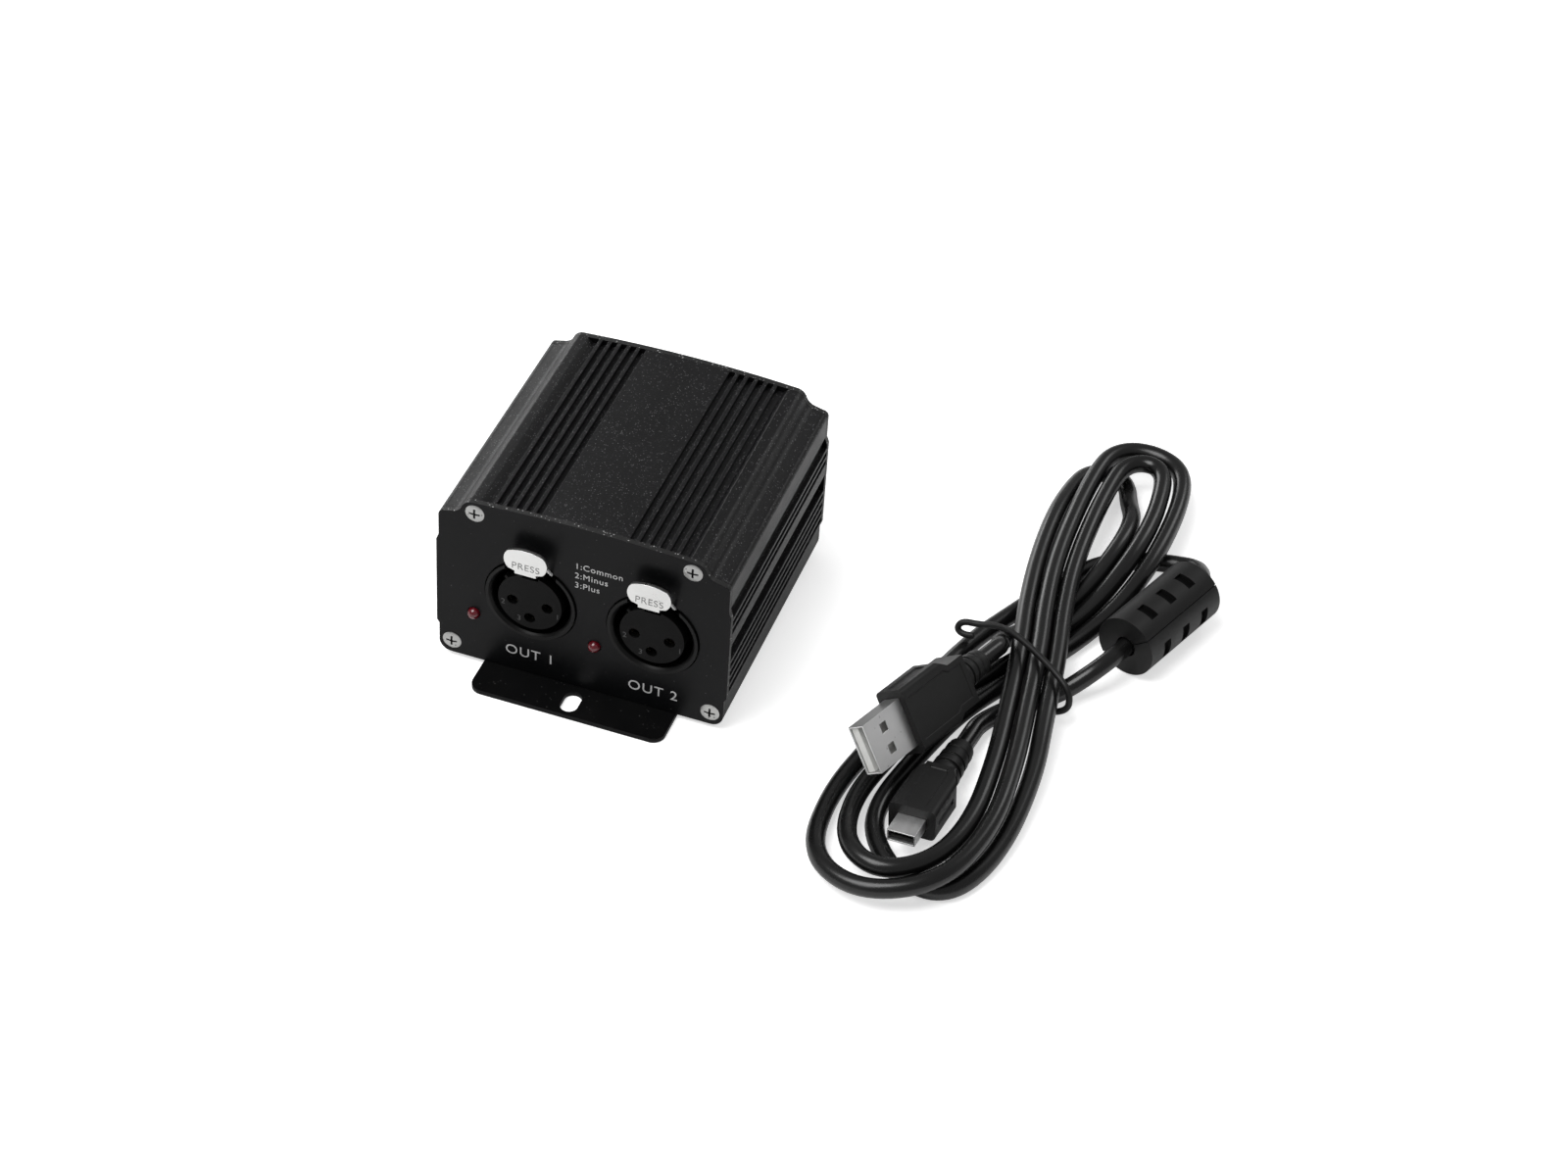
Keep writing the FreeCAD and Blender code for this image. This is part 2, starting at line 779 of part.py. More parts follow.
def plate_screw_places():
    """The four places of an end plate's screws, seen from the front."""
    rows = ((upper_screw_x, upper_screw_height), (lower_screw_x, lower_screw_height))
    return [(side * x, base + height) for x, height in rows for side in (-1, 1)]


def make_plate(name, face, inward, openings):
    """An end plate with its openings and a sunk seat for each screw."""
    middle = inward * -1 * (housing_length + plate_thickness) / 2
    holes = [(x, z, screw_radius + screw_clearance) for x, z in plate_screw_places()]
    body = extruded(f"{name}_blank", [plate_outline()] + holes + openings, "XZ_Plane", plate_thickness,
                    (0, middle, 0))
    sinks = [cone(f"{name}_sink_{index}", screw_head_radius + sink_gap, screw_radius + screw_clearance,
                  screw_head_height + sink_gap, (x, face, z), V(0, inward, 0))
             for index, (x, z) in enumerate(plate_screw_places())]
    node(cut(f"{name}_sunk", body, sinks), name)


def make_front_plate():
    sockets = [(x, socket_z, plate_hole_radius) for x in socket_x.values()]
    lamps = [(x - lamp_offset, base + lamp_height, lamp_radius + lamp_clearance) for x in socket_x.values()]
    make_plate("front_plate", front_face, 1, sockets + lamps)


def make_rear_plate():
    half = jack_width / 2 + jack_opening_gap
    opening = Outline([(-half, board_top - jack_opening_gap), (half, board_top - jack_opening_gap),
                       (half, board_top + jack_height + jack_opening_gap),
                       (-half, board_top + jack_height + jack_opening_gap)])
    make_plate("rear_plate", rear_face, -1, [opening])


# Screws

def make_screw(name, head_radius, head_height, radius, length, dome):
    """A sunk cross-head screw that points up from the origin, with a slightly domed face if asked."""
    parts = [cone(f"{name}_head", head_radius, radius, head_height, (0, 0, 0)),
             cylinder(f"{name}_shank", radius, length, (0, 0, 0))]
    face = 0
    if dome:
        face = -dome
        cap_radius = rise_radius(head_radius, dome)
        cap = doc.addObject("Part::MultiCommon", f"{name}_cap")
        cap.Shapes = [ball(f"{name}_cap_ball", cap_radius, (0, 0, cap_radius - dome)),
                      cylinder(f"{name}_cap_rim", head_radius, dome, (0, 0, face))]
        parts.append(cap)
    arms = []
    for index, (across, along) in enumerate(((recess_arm * 2, recess_slot), (recess_slot, recess_arm * 2))):
        arms.append(block(f"{name}_arm_{index}", across, along, recess_drop + overrun,
                          (-(across / 2), -(along / 2), face - overrun)))
    return cut(f"{name}_screw", fused(f"{name}_whole", parts), arms)


def make_plate_screws():
    screw = make_screw("plate", screw_head_radius, screw_head_height, screw_radius, screw_length, screw_dome)
    for name, face, inward in (("front_plate_screws", front_face, 1), ("rear_plate_screws", rear_face, -1)):
        places = [(x, face, z) for x, z in plate_screw_places()]
        turn = FreeCAD.Rotation(Z_AXIS, V(0, inward, 0))
        node(group(f"{name}_group", copies(screw, name, places, turn)), name)


def bracket_screw_places():
    return [(side * bracket_screw_x, end * bracket_screw_y) for side in (-1, 1) for end in (-1, 1)]


def make_bracket_screws():
    screw = make_screw("bracket", bracket_head_radius, bracket_head_radius - bracket_screw_radius,
                       bracket_screw_radius, bracket_screw_length, None)
    places = [(x, y, sink_gap) for x, y in bracket_screw_places()]
    node(group("bracket_screws_group", copies(screw, "bracket_screws", places)), "bracket_screws")


# Mounting bracket

def bracket_outline():
    half = bracket_width / 2
    reach = rear_face + flange_length
    radius = bracket_corner
    outline = Outline([(half, -(reach - radius))])
    outline.line_to(half, reach - radius)
    outline.arc_to(half - radius, reach, radius)
    outline.line_to(-(half - radius), reach)
    outline.arc_to(-half, reach - radius, radius)
    outline.line_to(-half, -(reach - radius))
    outline.arc_to(-(half - radius), -reach, radius)
    outline.line_to(half - radius, -reach)
    outline.radii[-1] = radius
    return outline


def slot_outline(middle):
    """A slot along Y with round ends."""
    radius = slot_width / 2
    straight = slot_length / 2 - radius
    outline = Outline([(radius, middle - straight)])
    outline.line_to(radius, middle + straight)
    outline.arc_to(0, middle + straight + radius, radius)
    outline.arc_to(-radius, middle + straight, radius)
    outline.line_to(-radius, middle - straight)
    outline.arc_to(0, middle - straight - radius, radius)
    outline.radii[-1] = radius
    return outline


def make_bracket():
    slots = [slot_outline(end * (rear_face + slot_setback)) for end in (-1, 1)]
    holes = [(x, y, bracket_screw_radius + screw_clearance) for x, y in bracket_screw_places()]
    body = extruded("bracket_blank", [bracket_outline()] + slots + holes, "XY_Plane", bracket_thickness,
                    (0, 0, bracket_thickness / 2))
    sinks = [cone(f"bracket_sink_{index}", bracket_head_radius + screw_clearance,
                  bracket_screw_radius + screw_clearance, bracket_head_radius - bracket_screw_radius + sink_gap,
                  (x, y, 0)) for index, (x, y) in enumerate(bracket_screw_places())]
    node(cut("bracket_sunk", body, sinks), "mounting_bracket")


# Circuit board

def contact_places(side):
    """The centres of a socket's three contacts."""
    x = socket_x[side]
    return [(x + contact_spread, socket_z - contact_side_drop), (x - contact_spread, socket_z - contact_side_drop),
            (x, socket_z - contact_low_drop)]


contact_start = deep(contact_hole_depth - insert_proud + seat_gap)
contact_end = deep(groove_depth + insert_base + tail_reach)
tail_y = contact_end - tail_radius
board_bottom = base + board_height
lamp_back = lamp_length - lamp_proud
lamp_lead_y = deep(lamp_back + lamp_lead_reach)


def make_board():
    board = block("board_blank", 2 * board_half_width, housing_length - 2 * board_end_gap, board_thickness,
                  (-board_half_width, deep(plate_thickness + board_end_gap), board_bottom))
    places = [(x, tail_y, tail_radius) for side in socket_x for x, z in contact_places(side)]
    places += [(x - lamp_offset + end * lamp_lead_spread, lamp_lead_y, lamp_lead_radius)
               for x in socket_x.values() for end in (-1, 1)]
    holes = [cylinder(f"board_hole_{index}", radius + tail_clearance, board_thickness + 2 * overrun,
                      (x, y, board_bottom - overrun)) for index, (x, y, radius) in enumerate(places)]
    node(cut("board_drilled", board, holes), "circuit_board")


# Three-pole sockets

def make_socket_housing(side):
    x = socket_x[side]
    front = deep(-collar_proud)
    depth = socket_block_depth + collar_proud
    top = socket_z + socket_block_top
    slot_half = neck_width / 2 + latch_slot_clearance
    tail_half = contact_spread + tail_slot_margin
    tail_front = groove_depth + insert_base
    name = f"socket_{side}"
    whole = fused(f"{name}_whole", [
        box_around(f"{name}_block", x, deep(plate_thickness), board_top, socket_block_width,
                   socket_block_depth - plate_thickness, top - board_top),
        cylinder(f"{name}_collar", collar_radius, plate_thickness + collar_proud, (x, front, socket_z), Y_AXIS)])
    tools = [
        cylinder(f"{name}_bore", groove_radius, depth + 2 * overrun, (x, front - overrun, socket_z), Y_AXIS),
        cone(f"{name}_mouth", mouth_radius, groove_radius, mouth_depth, (x, front, socket_z), Y_AXIS),
        box_around(f"{name}_window", x, front - overrun, socket_z + window_height, 2 * window_half_width,
                   plate_thickness + collar_proud + overrun, collar_radius),
        box_around(f"{name}_latch_slot", x, front, socket_z + latch_slot_height, 2 * slot_half,
                   latch_slot_end + collar_proud, socket_block_top),
        cylinder(f"{name}_pin_hole", pivot_radius + pivot_clearance, pivot_length + 2 * seat_gap,
                 (x - pivot_length / 2 - seat_gap, deep(pivot_depth), socket_z + pivot_height), X_AXIS),
        box_around(f"{name}_tail_slot", x, deep(tail_front), board_top - overrun, 2 * tail_half,
                   socket_block_depth - tail_front + overrun, socket_height)]
    node(cut(f"{name}_cut", whole, tools), f"socket_{side}_housing")


def make_insert(side):
    x = socket_x[side]
    name = f"insert_{side}"
    front = deep(-insert_proud)
    core_length = insert_proud + groove_depth
    back_length = core_length + insert_base + overrun
    root_radius = insert_radius - key_width
    key = block(f"{name}_key", key_width, key_length, key_width + key_height, (0, 0, 0))
    place(key, (x - (root_radius + key_width / 2) * DIAGONAL_SHARE, front,
                socket_z + (root_radius - key_width / 2) * DIAGONAL_SHARE), FreeCAD.Rotation(Y_AXIS, -45))
    whole = fused(f"{name}_whole", [
        cylinder(f"{name}_core", insert_radius, core_length, (x, front, socket_z), Y_AXIS),
        cylinder(f"{name}_base", groove_radius - seat_gap, insert_base, (x, deep(groove_depth), socket_z), Y_AXIS),
        key])
    tools = [box_around(f"{name}_notch", x, front - overrun, socket_z + insert_radius - insert_notch_depth,
                        insert_notch_width, insert_notch_length + overrun, insert_notch_depth + overrun)]
    for index, (centre, z) in enumerate(contact_places(side)):
        tools.append(cylinder(f"{name}_entry_{index}", contact_hole_radius, contact_hole_depth + overrun,
                              (centre, front - overrun, z), Y_AXIS))
        tools.append(cylinder(f"{name}_seat_{index}", contact_radius + pivot_clearance, back_length,
                              (centre, front + contact_hole_depth, z), Y_AXIS))
    node(cut(f"{name}_cut", whole, tools), f"socket_{side}_insert")


def make_contacts(side):
    contacts = []
    for index, (x, z) in enumerate(contact_places(side)):
        name = f"contact_{side}_{index}"
        tail_foot = board_bottom - tail_drop
        whole = fused(f"{name}_whole", [
            cylinder(f"{name}_barrel", contact_radius, contact_end - contact_start, (x, contact_start, z), Y_AXIS),
            cylinder(f"{name}_tail", tail_radius, z - tail_foot, (x, tail_y, tail_foot))])
        bore = cylinder(f"{name}_bore", contact_bore, contact_bore_depth + overrun,
                        (x, contact_start - overrun, z), Y_AXIS)
        contacts.append(cut(f"{name}_cut", whole, [bore]))
    node(group(f"contacts_{side}", contacts), f"socket_{side}_contacts")


# Latches

def tab_outline():
    """The push tab's rounded outline about its own middle."""
    side = tab_half_width - tab_side_crown
    top = tab_half_height - tab_crown
    end_radius = rise_radius(top, tab_side_crown)
    long_radius = rise_radius(side, tab_crown)
    outline = Outline([(side, -top)])
    outline.arc_to(side, top, end_radius)
    outline.arc_to(-side, top, long_radius)
    outline.arc_to(-side, -top, end_radius)
    outline.radii[-1] = long_radius
    return outline


def latch_profile():
    """The neck, arm and hook seen from the side, as places along Y and heights."""
    front = deep(-tab_proud)
    back = deep(tab_thickness - tab_proud)
    tab_foot = socket_z + tab_height - tab_half_height
    under = socket_z + neck_height
    over = under + neck_thickness
    hook_front = deep(hook_depth - hook_length)
    return Outline([(front, tab_foot + lip_drop), (front, tab_foot - lip_drop), (front + neck_bend, under),
                    (hook_front, under), (hook_front + hook_lead, socket_z + hook_tip_height),
                    (deep(hook_depth), socket_z + hook_tip_height), (deep(hook_depth), over), (back, over),
                    (back, tab_foot + lip_drop)])


def make_latch(side):
    x = socket_x[side]
    name = f"latch_{side}"
    pivot = (x - neck_width / 2, deep(pivot_depth), socket_z + pivot_height)
    tab = extruded(f"{name}_tab", [tab_outline()], "XZ_Plane", tab_thickness,
                   (x, deep(tab_thickness / 2 - tab_proud), socket_z + tab_height))
    arm = extruded(f"{name}_arm", [latch_profile()], "YZ_Plane", neck_width, (x, 0, 0))
    barrel = cylinder(f"{name}_barrel", barrel_radius, neck_width, pivot, X_AXIS)
    bore = cylinder(f"{name}_bore", pivot_radius + pivot_clearance, neck_width + 2 * overrun,
                    (pivot[0] - overrun, pivot[1], pivot[2]), X_AXIS)
    node(cut(f"{name}_cut", fused(f"{name}_whole", [tab, arm, barrel]), [bore]), name)
    node(cylinder(f"{name}_pin_body", pivot_radius, pivot_length,
                  (x - pivot_length / 2, pivot[1], pivot[2]), X_AXIS), f"latch_{side}_pin")


def make_latch_spring(side):
    """A bent wire behind the tab with a leg down each side."""
    x = socket_x[side]
    name = f"spring_{side}"
    top = (deep(tab_thickness - tab_proud) + wire_radius + sink_gap, socket_z + wire_top_height)
    foot = (deep(wire_end_depth), socket_z + wire_end_height)
    across = foot[0] - top[0]
    down = foot[1] - top[1]
    lean = FreeCAD.Rotation(Z_AXIS, V(0, across.value, down.value))
    parts = [cylinder(f"{name}_back", wire_radius, 2 * wire_half_width, (x - wire_half_width, *top), X_AXIS)]
    for end in (-1, 1):
        leg_x = x + end * wire_half_width
        leg = cylinder(f"{name}_leg_{end + 1}", wire_radius, root(across * across + down * down), (leg_x, *top))
        parts += [place(leg, (leg_x, *top), lean), ball(f"{name}_bend_{end + 1}", wire_radius, (leg_x, *top)),
                  ball(f"{name}_end_{end + 1}", wire_radius, (leg_x, *foot))]
    node(fused(f"{name}_wire", parts), f"latch_{side}_spring")


# Indicator lamps

def make_lamp(side):
    x = socket_x[side] - lamp_offset
    z = base + lamp_height
    name = f"lamp_{side}"
    tip = deep(lamp_radius - lamp_proud)
    node(fused(f"{name}_lens", [
        ball(f"{name}_dome", lamp_radius, (x, tip, z)),
        cylinder(f"{name}_body", lamp_radius, lamp_length - lamp_radius, (x, tip, z), Y_AXIS),
        cylinder(f"{name}_rim", lamp_radius + lamp_rim, lamp_rim_length,
                 (x, deep(lamp_back - lamp_rim_length), z), Y_AXIS)]), name)


def make_lamp_leads():
    leads = []
    foot = board_bottom - tail_drop
    for side in socket_x:
        for end in (-1, 1):
            name = f"lamp_lead_{side}_{end + 1}"
            x = socket_x[side] - lamp_offset + end * lamp_lead_spread
            z = base + lamp_height
            leads.append(fused(name, [
                cylinder(f"{name}_run", lamp_lead_radius, lamp_lead_reach, (x, deep(lamp_back), z), Y_AXIS),
                ball(f"{name}_bend", lamp_lead_radius, (x, lamp_lead_y, z)),
                cylinder(f"{name}_drop", lamp_lead_radius, z - foot, (x, lamp_lead_y, foot))]))
    node(group("lamp_lead_group", leads), "lamp_leads")


def make_lamp_holders():
    """A block under each lamp with a round seat for it."""
    holders = []
    front = deep(plate_thickness + board_end_gap + seat_gap)
    z = base + lamp_height
    for side in socket_x:
        x = socket_x[side] - lamp_offset
        name = f"lamp_holder_{side}"
        whole = box_around(f"{name}_block", x, front, board_top, lamp_holder_width,
                           deep(lamp_back) - front, z - board_top)
        seats = [cylinder(f"{name}_seat", lamp_radius + lamp_clearance, lamp_length, (x, front_face, z), Y_AXIS),
                 cylinder(f"{name}_rim_seat", lamp_radius + lamp_rim + lamp_clearance, lamp_length,
                          (x, deep(lamp_back - lamp_rim_length - lamp_clearance), z), Y_AXIS)]
        holders.append(cut(name, whole, seats))
    node(group("lamp_holder_group", holders), "lamp_holders")


# Mini socket at the rear

def jack_outline(inset):
    half = jack_width / 2 - inset
    low = board_top + inset
    top = board_top + jack_height - inset
    return Outline([(half - jack_chamfer, low), (half, low + jack_chamfer), (half, top)]).mirrored()


def make_jack():
    middle = rear_face - jack_depth / 2
    shell = extruded("jack_outer", [jack_outline(0)], "XZ_Plane", jack_depth, (0, middle, 0))
    hollow_length = jack_depth - jack_back + overrun
    hollow = extruded("jack_hollow", [jack_outline(jack_wall)], "XZ_Plane", hollow_length,
                      (0, rear_face + overrun - hollow_length / 2, 0))
    node(cut("jack_shell", shell, [hollow]), "usb_jack_shell")
    back = rear_face - jack_depth + jack_back
    low = board_top + (jack_height - jack_tongue_thickness) / 2
    node(box_around("jack_tongue", 0, back, low, jack_tongue_width, jack_tongue_length, jack_tongue_thickness),
         "usb_jack_tongue")
    strips = []
    for index in range(jack_contact_count):
        x = (index - (jack_contact_count - 1) / 2) * jack_contact_pitch
        strips.append(box_around(f"jack_strip_{index}", x, back, low - jack_contact_thickness,
                                 jack_contact_width, jack_contact_length, jack_contact_thickness))
    node(group("jack_strips", strips), "usb_jack_contacts")


# Parts on the board

def on_board(name, x, depth, length, width, height):
    """A block that stands on the board, centred on its place."""
    return box_around(name, x, deep(depth) - width / 2, board_top, length, width, height)


def make_board_parts():
    node(on_board("controller", 0, controller_depth, controller_side, controller_side, controller_height),
         "controller_chip")
    node(on_board("bridge", 0, bridge_depth, bridge_side, bridge_side, controller_height), "usb_bridge_chip")
    node(group("drivers", [on_board(f"driver_{side}", x, driver_depth, chip_length, chip_width, chip_height)
                           for side, x in socket_x.items()]), "line_drivers")
    node(group("isolators", [on_board(f"isolator_{end + 1}", end * isolator_x, isolator_depth, chip_width,
                                      chip_length, chip_height) for end in (-1, 1)]), "isolators")
    node(fused("crystal_can", [
        on_board("crystal_rim_plate", crystal_x, controller_depth, crystal_length, crystal_width, crystal_base),
        on_board("crystal_top", crystal_x, controller_depth, crystal_length - 2 * crystal_rim,
                 crystal_width - 2 * crystal_rim, crystal_height)]), "crystal")
    node(group("capacitor_pair", [
        cylinder(f"capacitor_{end + 1}", capacitor_radius, capacitor_height,
                 (end * capacitor_x, deep(capacitor_depth), board_top)) for end in (-1, 1)]), "capacitors")
    node(group("resistor_row", [
        on_board(f"resistor_{index}", (index - (resistor_count - 1) / 2) * resistor_pitch, resistor_depth,
                 resistor_width, resistor_length, resistor_height) for index in range(resistor_count)]),
         "resistors")


def make_box():
    make_upper_shell()
    make_lower_shell()
    make_front_plate()
    make_rear_plate()
    make_plate_screws()
    make_bracket()
    make_bracket_screws()
    make_board()
    for side in socket_x:
        make_socket_housing(side)
        make_insert(side)
        make_contacts(side)
        make_latch(side)
        make_latch_spring(side)
        make_lamp(side)
    make_lamp_leads()
    make_lamp_holders()
    make_jack()
    make_board_parts()


# USB lead
# Its routes are points chosen by hand, in millimetres. Their third number is the height of the cord's middle.

FLOOR = 2.25
UPPER = 7.3
BEND_SHARE = 0.45

# One row is a station of the wound hank. It holds the place of each of the three turns across the box and
# along it, and the share of the way from the floor up to the upper layer.
TURN_STATIONS = (
    ((80.6, 15.5, 0), (99.2, 15.5, 0), (93.3, 15.5, 0)),
    ((74.3, -6.5, 0), (86.4, -6.5, 0), (80.2, -6.5, 0)),
    ((69.8, -26.5, 0), (80.6, -26.5, 0), (75.1, -26.5, 0)),
    ((66.2, -46.5, 0), (76.7, -45.5, 0), (71.3, -46.5, 0.3)),
    ((69.6, -65.5, 0.2), (79.9, -55.4, 0), (75.4, -63.1, 0.85)),
    ((83.0, -74.3, 0.5), (89.5, -64.7, 0), (84.5, -69.1, 1)),
    ((97.8, -67.2, 1), (99.5, -65.1, 0), (94.4, -61.9, 1)),
    ((103.8, -48.5, 1), (106.6, -50.5, 0), (98.5, -48.5, 1)),
    ((103.0, -26.5, 1), (107.9, -26.5, 0.45), (97.8, -26.5, 1)),
    ((100.7, -8.5, 1), (105.9, -8.5, 1), (95.5, -8.5, 1)),
    ((97.9, 11.5, 1), (103.1, 11.5, 1), (92.7, 11.5, 1)),
    ((94.7, 27.5, 1), (99.9, 27.5, 1), (89.5, 27.5, 1)),
    ((92.3, 45.5, 1), (97.5, 45.5, 1), (87.1, 45.5, 1)),
    ((92.0, 64.5, 1), (97.2, 64.5, 1), (86.4, 64.5, 1)),
    ((92.2, 82.5, 1), (97.3, 80.8, 1), (86.8, 78.0, 0.25)),
    ((104.0, 94.5, 1), (104.1, 87.8, 1), (95.7, 87.8, 0)),
    ((116.0, 81.5, 1), (110.8, 80.8, 1), (104.9, 78.0, 0.22)),
    ((116.4, 67.5, 1), (110.8, 67.5, 1), (105.4, 67.5, 0.85)),
    ((115.4, 53.5, 1), (109.9, 53.5, 1), (104.5, 53.5, 1)),
    ((110.6, 38.5, 0.3), (104.8, 38.5, 0.25), (99.2, 38.5, 0)),
    ((105.3, 27.5, 0), (99.7, 27.5, 0), (93.4, 27.5, 0)),
)
# How many stations come before the top of the far loop.
TOP_STATION_COUNT = 15
HANK_START = ((125.3, 59.3, 4.8), (118.8, 61.5, FLOOR), (110.8, 59.7, FLOOR), (103.0, 55.7, FLOOR),
              (96.3, 47.5, FLOOR), (91.2, 37.5, FLOOR), (86.3, 27.5, FLOOR))
HANK_END = ((88.3, 18.8, 3.0), (86.8, 11.7, 6.6))
HOST_RELIEF_END = V(86.6, -1.3, 11.8)
HOST_TURNS = (18.0, -6.0, 54.0)
DEVICE_TIP = V(86.1, -58.5, 6.9)
DEVICE_TURNS = (5.5, -5.0, -6.0)
FERRITE_MIDDLE = V(121.2, 34.5, 7.85)
FERRITE_TURN = 20.67
FERRITE_ROLL = -42.0
WINDOW_TURN = 48.0
CORE_REACH = 10.9
FERRITE_EXIT = 18.0
DEVICE_ROUTE = ((97.5, -1.5, FLOOR), (105.2, 5.3, FLOOR))
DEVICE_RUN = 11.5
FERRITE_RUN = 23.4
TIE_ROUTE = ((75.4, 14.6, 0.65), (75.9, 14.5, 5.4), (80.4, 14.6, 7.4), (86.5, 14.2, 9.6), (91.5, 11.2, 10.9),
             (98.6, 7.0, 10.9), (106.6, 2.6, 10.8), (108.6, 1.6, 6.0), (108.7, 1.5, 0.65))
GAP_SKIP = 16.0
STRAIGHT_RISE = 0.00001
PARALLEL_SPREAD = 0.000000001


def turned(turns):
    """The turning of a plug from its bearing, its pitch and its roll in degrees."""
    bearing, pitch, roll = turns
    return (FreeCAD.Rotation(Z_AXIS, -bearing) * FreeCAD.Rotation(X_AXIS, pitch)
            * FreeCAD.Rotation(Y_AXIS, roll))


def ferrite_along(reach):
    """A point on the ferrite's axis at a reach from its middle."""
    return FERRITE_MIDDLE + turned((FERRITE_TURN, 0, 0)).multVec(Y_AXIS) * reach


def unit(vector):
    return V(vector).normalize()


def arc_pair(start, leaving, end, arriving):
    """Two arcs that join smoothly between two points with given directions."""
    chord = end - start
    both = leaving + arriving
    spread = 2 * (1 - leaving.dot(arriving))
    if spread < PARALLEL_SPREAD:
        reach = chord.dot(chord) / (4 * chord.dot(arriving))
    else:
        along = chord.dot(both)
        reach = (math.sqrt(along * along + spread * chord.dot(chord)) - along) / spread
    joint = (start + end + (leaving - arriving) * reach) / 2
    return [(start, start + leaving * reach, joint), (joint, end - arriving * reach, end)]


def arc_middle(start, corner, end):
    weight = (end - start).Length / 2 / (corner - start).Length
    return (start + corner * (2 * weight) + end) / (2 + 2 * weight)


def arc_edge(start, corner, end):
    middle = arc_middle(start, corner, end)
    if (middle - (start + end) / 2).Length < STRAIGHT_RISE:
        return Part.LineSegment(start, end).toShape()
    return Part.Arc(start, middle, end).toShape()


def wound_edges(points, directions):
    edges = []
    for index in range(len(points) - 1):
        for arc in arc_pair(points[index], directions[index], points[index + 1], directions[index + 1]):
            edges.append(arc_edge(*arc))
    return edges


def limp_edges(points):
    """Straight runs whose corners are rounded by the largest arc that leaves a tenth of the shorter run."""
    edges = []
    radii = []
    last = points[0]
    for before, corner, after in zip(points, points[1:], points[2:]):
        into = unit(corner - before)
        out = unit(after - corner)
        half = into.getAngle(out) / 2
        reach = BEND_SHARE * min((corner - before).Length, (after - corner).Length)
        radius = reach / math.tan(half)
        radii.append(radius)
        start = corner - into * reach
        end = corner + out * reach
        centre = corner + unit(out - into) * (radius / math.cos(half))
        edges.append(Part.LineSegment(last, start).toShape())
        edges.append(Part.Arc(start, centre + unit(corner - centre) * radius, end).toShape())
        last = end
    edges.append(Part.LineSegment(last, points[-1]).toShape())
    print("  radii", ", ".join(f"{radius:.1f}" for radius in radii))
    return edges


def tube(name, edges, radius):
    """A solid tube of one round section along edges that join smoothly."""
    wire = Part.Wire(edges)
    start = edges[0].valueAt(edges[0].FirstParameter)
    heading = edges[0].tangentAt(edges[0].FirstParameter)
    ring = Part.Wire([Part.Circle(start, heading, number(radius)).toShape()])
    shell = Part.BRepOffsetAPI.MakePipeShell(wire)
    shell.add(ring)
    shell.build()
    shell.makeSolid()
    item = doc.addObject("Part::Feature", name)
    item.Shape = shell.shape()
    section = math.pi * number(radius) ** 2
    print(f"  {name}: length {wire.Length:.1f}, volume over section times length "
          f"{item.Shape.Volume / (section * wire.Length):.5f}")
    return item


def hank_points():
    """The points of the wound cord in order, and its direction at each."""
    turns = []
    for turn in range(3):
        for station in TURN_STATIONS:
            x, y, share = station[turn]
            turns.append(V(x, y, FLOOR + share * (UPPER - FLOOR)))
    plug = turned(HOST_TURNS).multVec(Y_AXIS)
    points = [ferrite_along(FERRITE_EXIT)] + [V(*point) for point in HANK_START] + turns
    points += [V(*point) for point in HANK_END] + [HOST_RELIEF_END + plug * (2 * number(cord_radius))]
    directions = [unit(ferrite_along(1) - FERRITE_MIDDLE)]
    for before, point, after in zip(points, points[1:], points[2:]):
        level = point.z in (FLOOR, UPPER)
        directions.append(unit(V(after.x - before.x, after.y - before.y, 0 if level else after.z - before.z)))
    directions.append(-plug)
    first = 1 + len(HANK_START)
    for turn in range(3):
        top = first + turn * len(TURN_STATIONS) + TOP_STATION_COUNT
        for offset, level in ((-1, Y_AXIS), (0, X_AXIS), (1, -Y_AXIS)):
            at = top + offset
            rise = 0 if points[at].z in (FLOOR, UPPER) else points[at + 1].z - points[at - 1].z
            way = flat_length(points[at - 1], points[at]) + flat_length(points[at], points[at + 1])
            directions[at] = unit(level + Z_AXIS * (rise / way))
    return points, directions


def flat_length(start, end):
    return math.hypot(end.x - start.x, end.y - start.y)


def least_gap(edges, radius):
    """Least gap between two places of a wound tube that lie far apart along it."""
    spots = []
    way = 0
    for edge in edges:
        steps = max(2, int(edge.Length))
        for spot in edge.discretize(steps + 1)[:-1]:
            spots.append((way, spot))
            way += edge.Length / steps
    least = min((one - other).Length for index, (way_one, one) in enumerate(spots)
                for way_other, other in spots[index + 1:] if way_other - way_one > GAP_SKIP)
    return least - 2 * radius


def make_hank():
    points, directions = hank_points()
    edges = [Part.LineSegment(ferrite_along(-CORE_REACH), points[0]).toShape()]
    edges += wound_edges(points, directions)
    edges.append(Part.LineSegment(points[-1], HOST_RELIEF_END).toShape())
    node(tube("hank", edges, cord_radius), "cable_hank")
    print(f"  least gap of the hank to itself {least_gap(edges, number(cord_radius)):.2f}")


def make_device_lead():
    along = turned(DEVICE_TURNS).multVec(Y_AXIS)
    length = number(device_shell_length + device_body_length + device_relief_length)
    start = DEVICE_TIP + along * length
    points = [start, start + along * DEVICE_RUN] + [V(*point) for point in DEVICE_ROUTE]
    points += [ferrite_along(-FERRITE_RUN), ferrite_along(-CORE_REACH)]
    node(tube("device_lead", limp_edges(points), cord_radius), "cable_device_lead")


def make_tie():
    node(tube("tie", limp_edges([V(*point) for point in TIE_ROUTE]), tie_radius), "cable_tie")


def rounded_outline(width, height, corner):
    right = Outline([(width / 2 - corner, -height / 2)])
    right.arc_to(width / 2, corner - height / 2, corner)
    right.line_to(width / 2, height / 2 - corner)
    right.arc_to(width / 2 - corner, height / 2, corner)
    return right.mirrored()


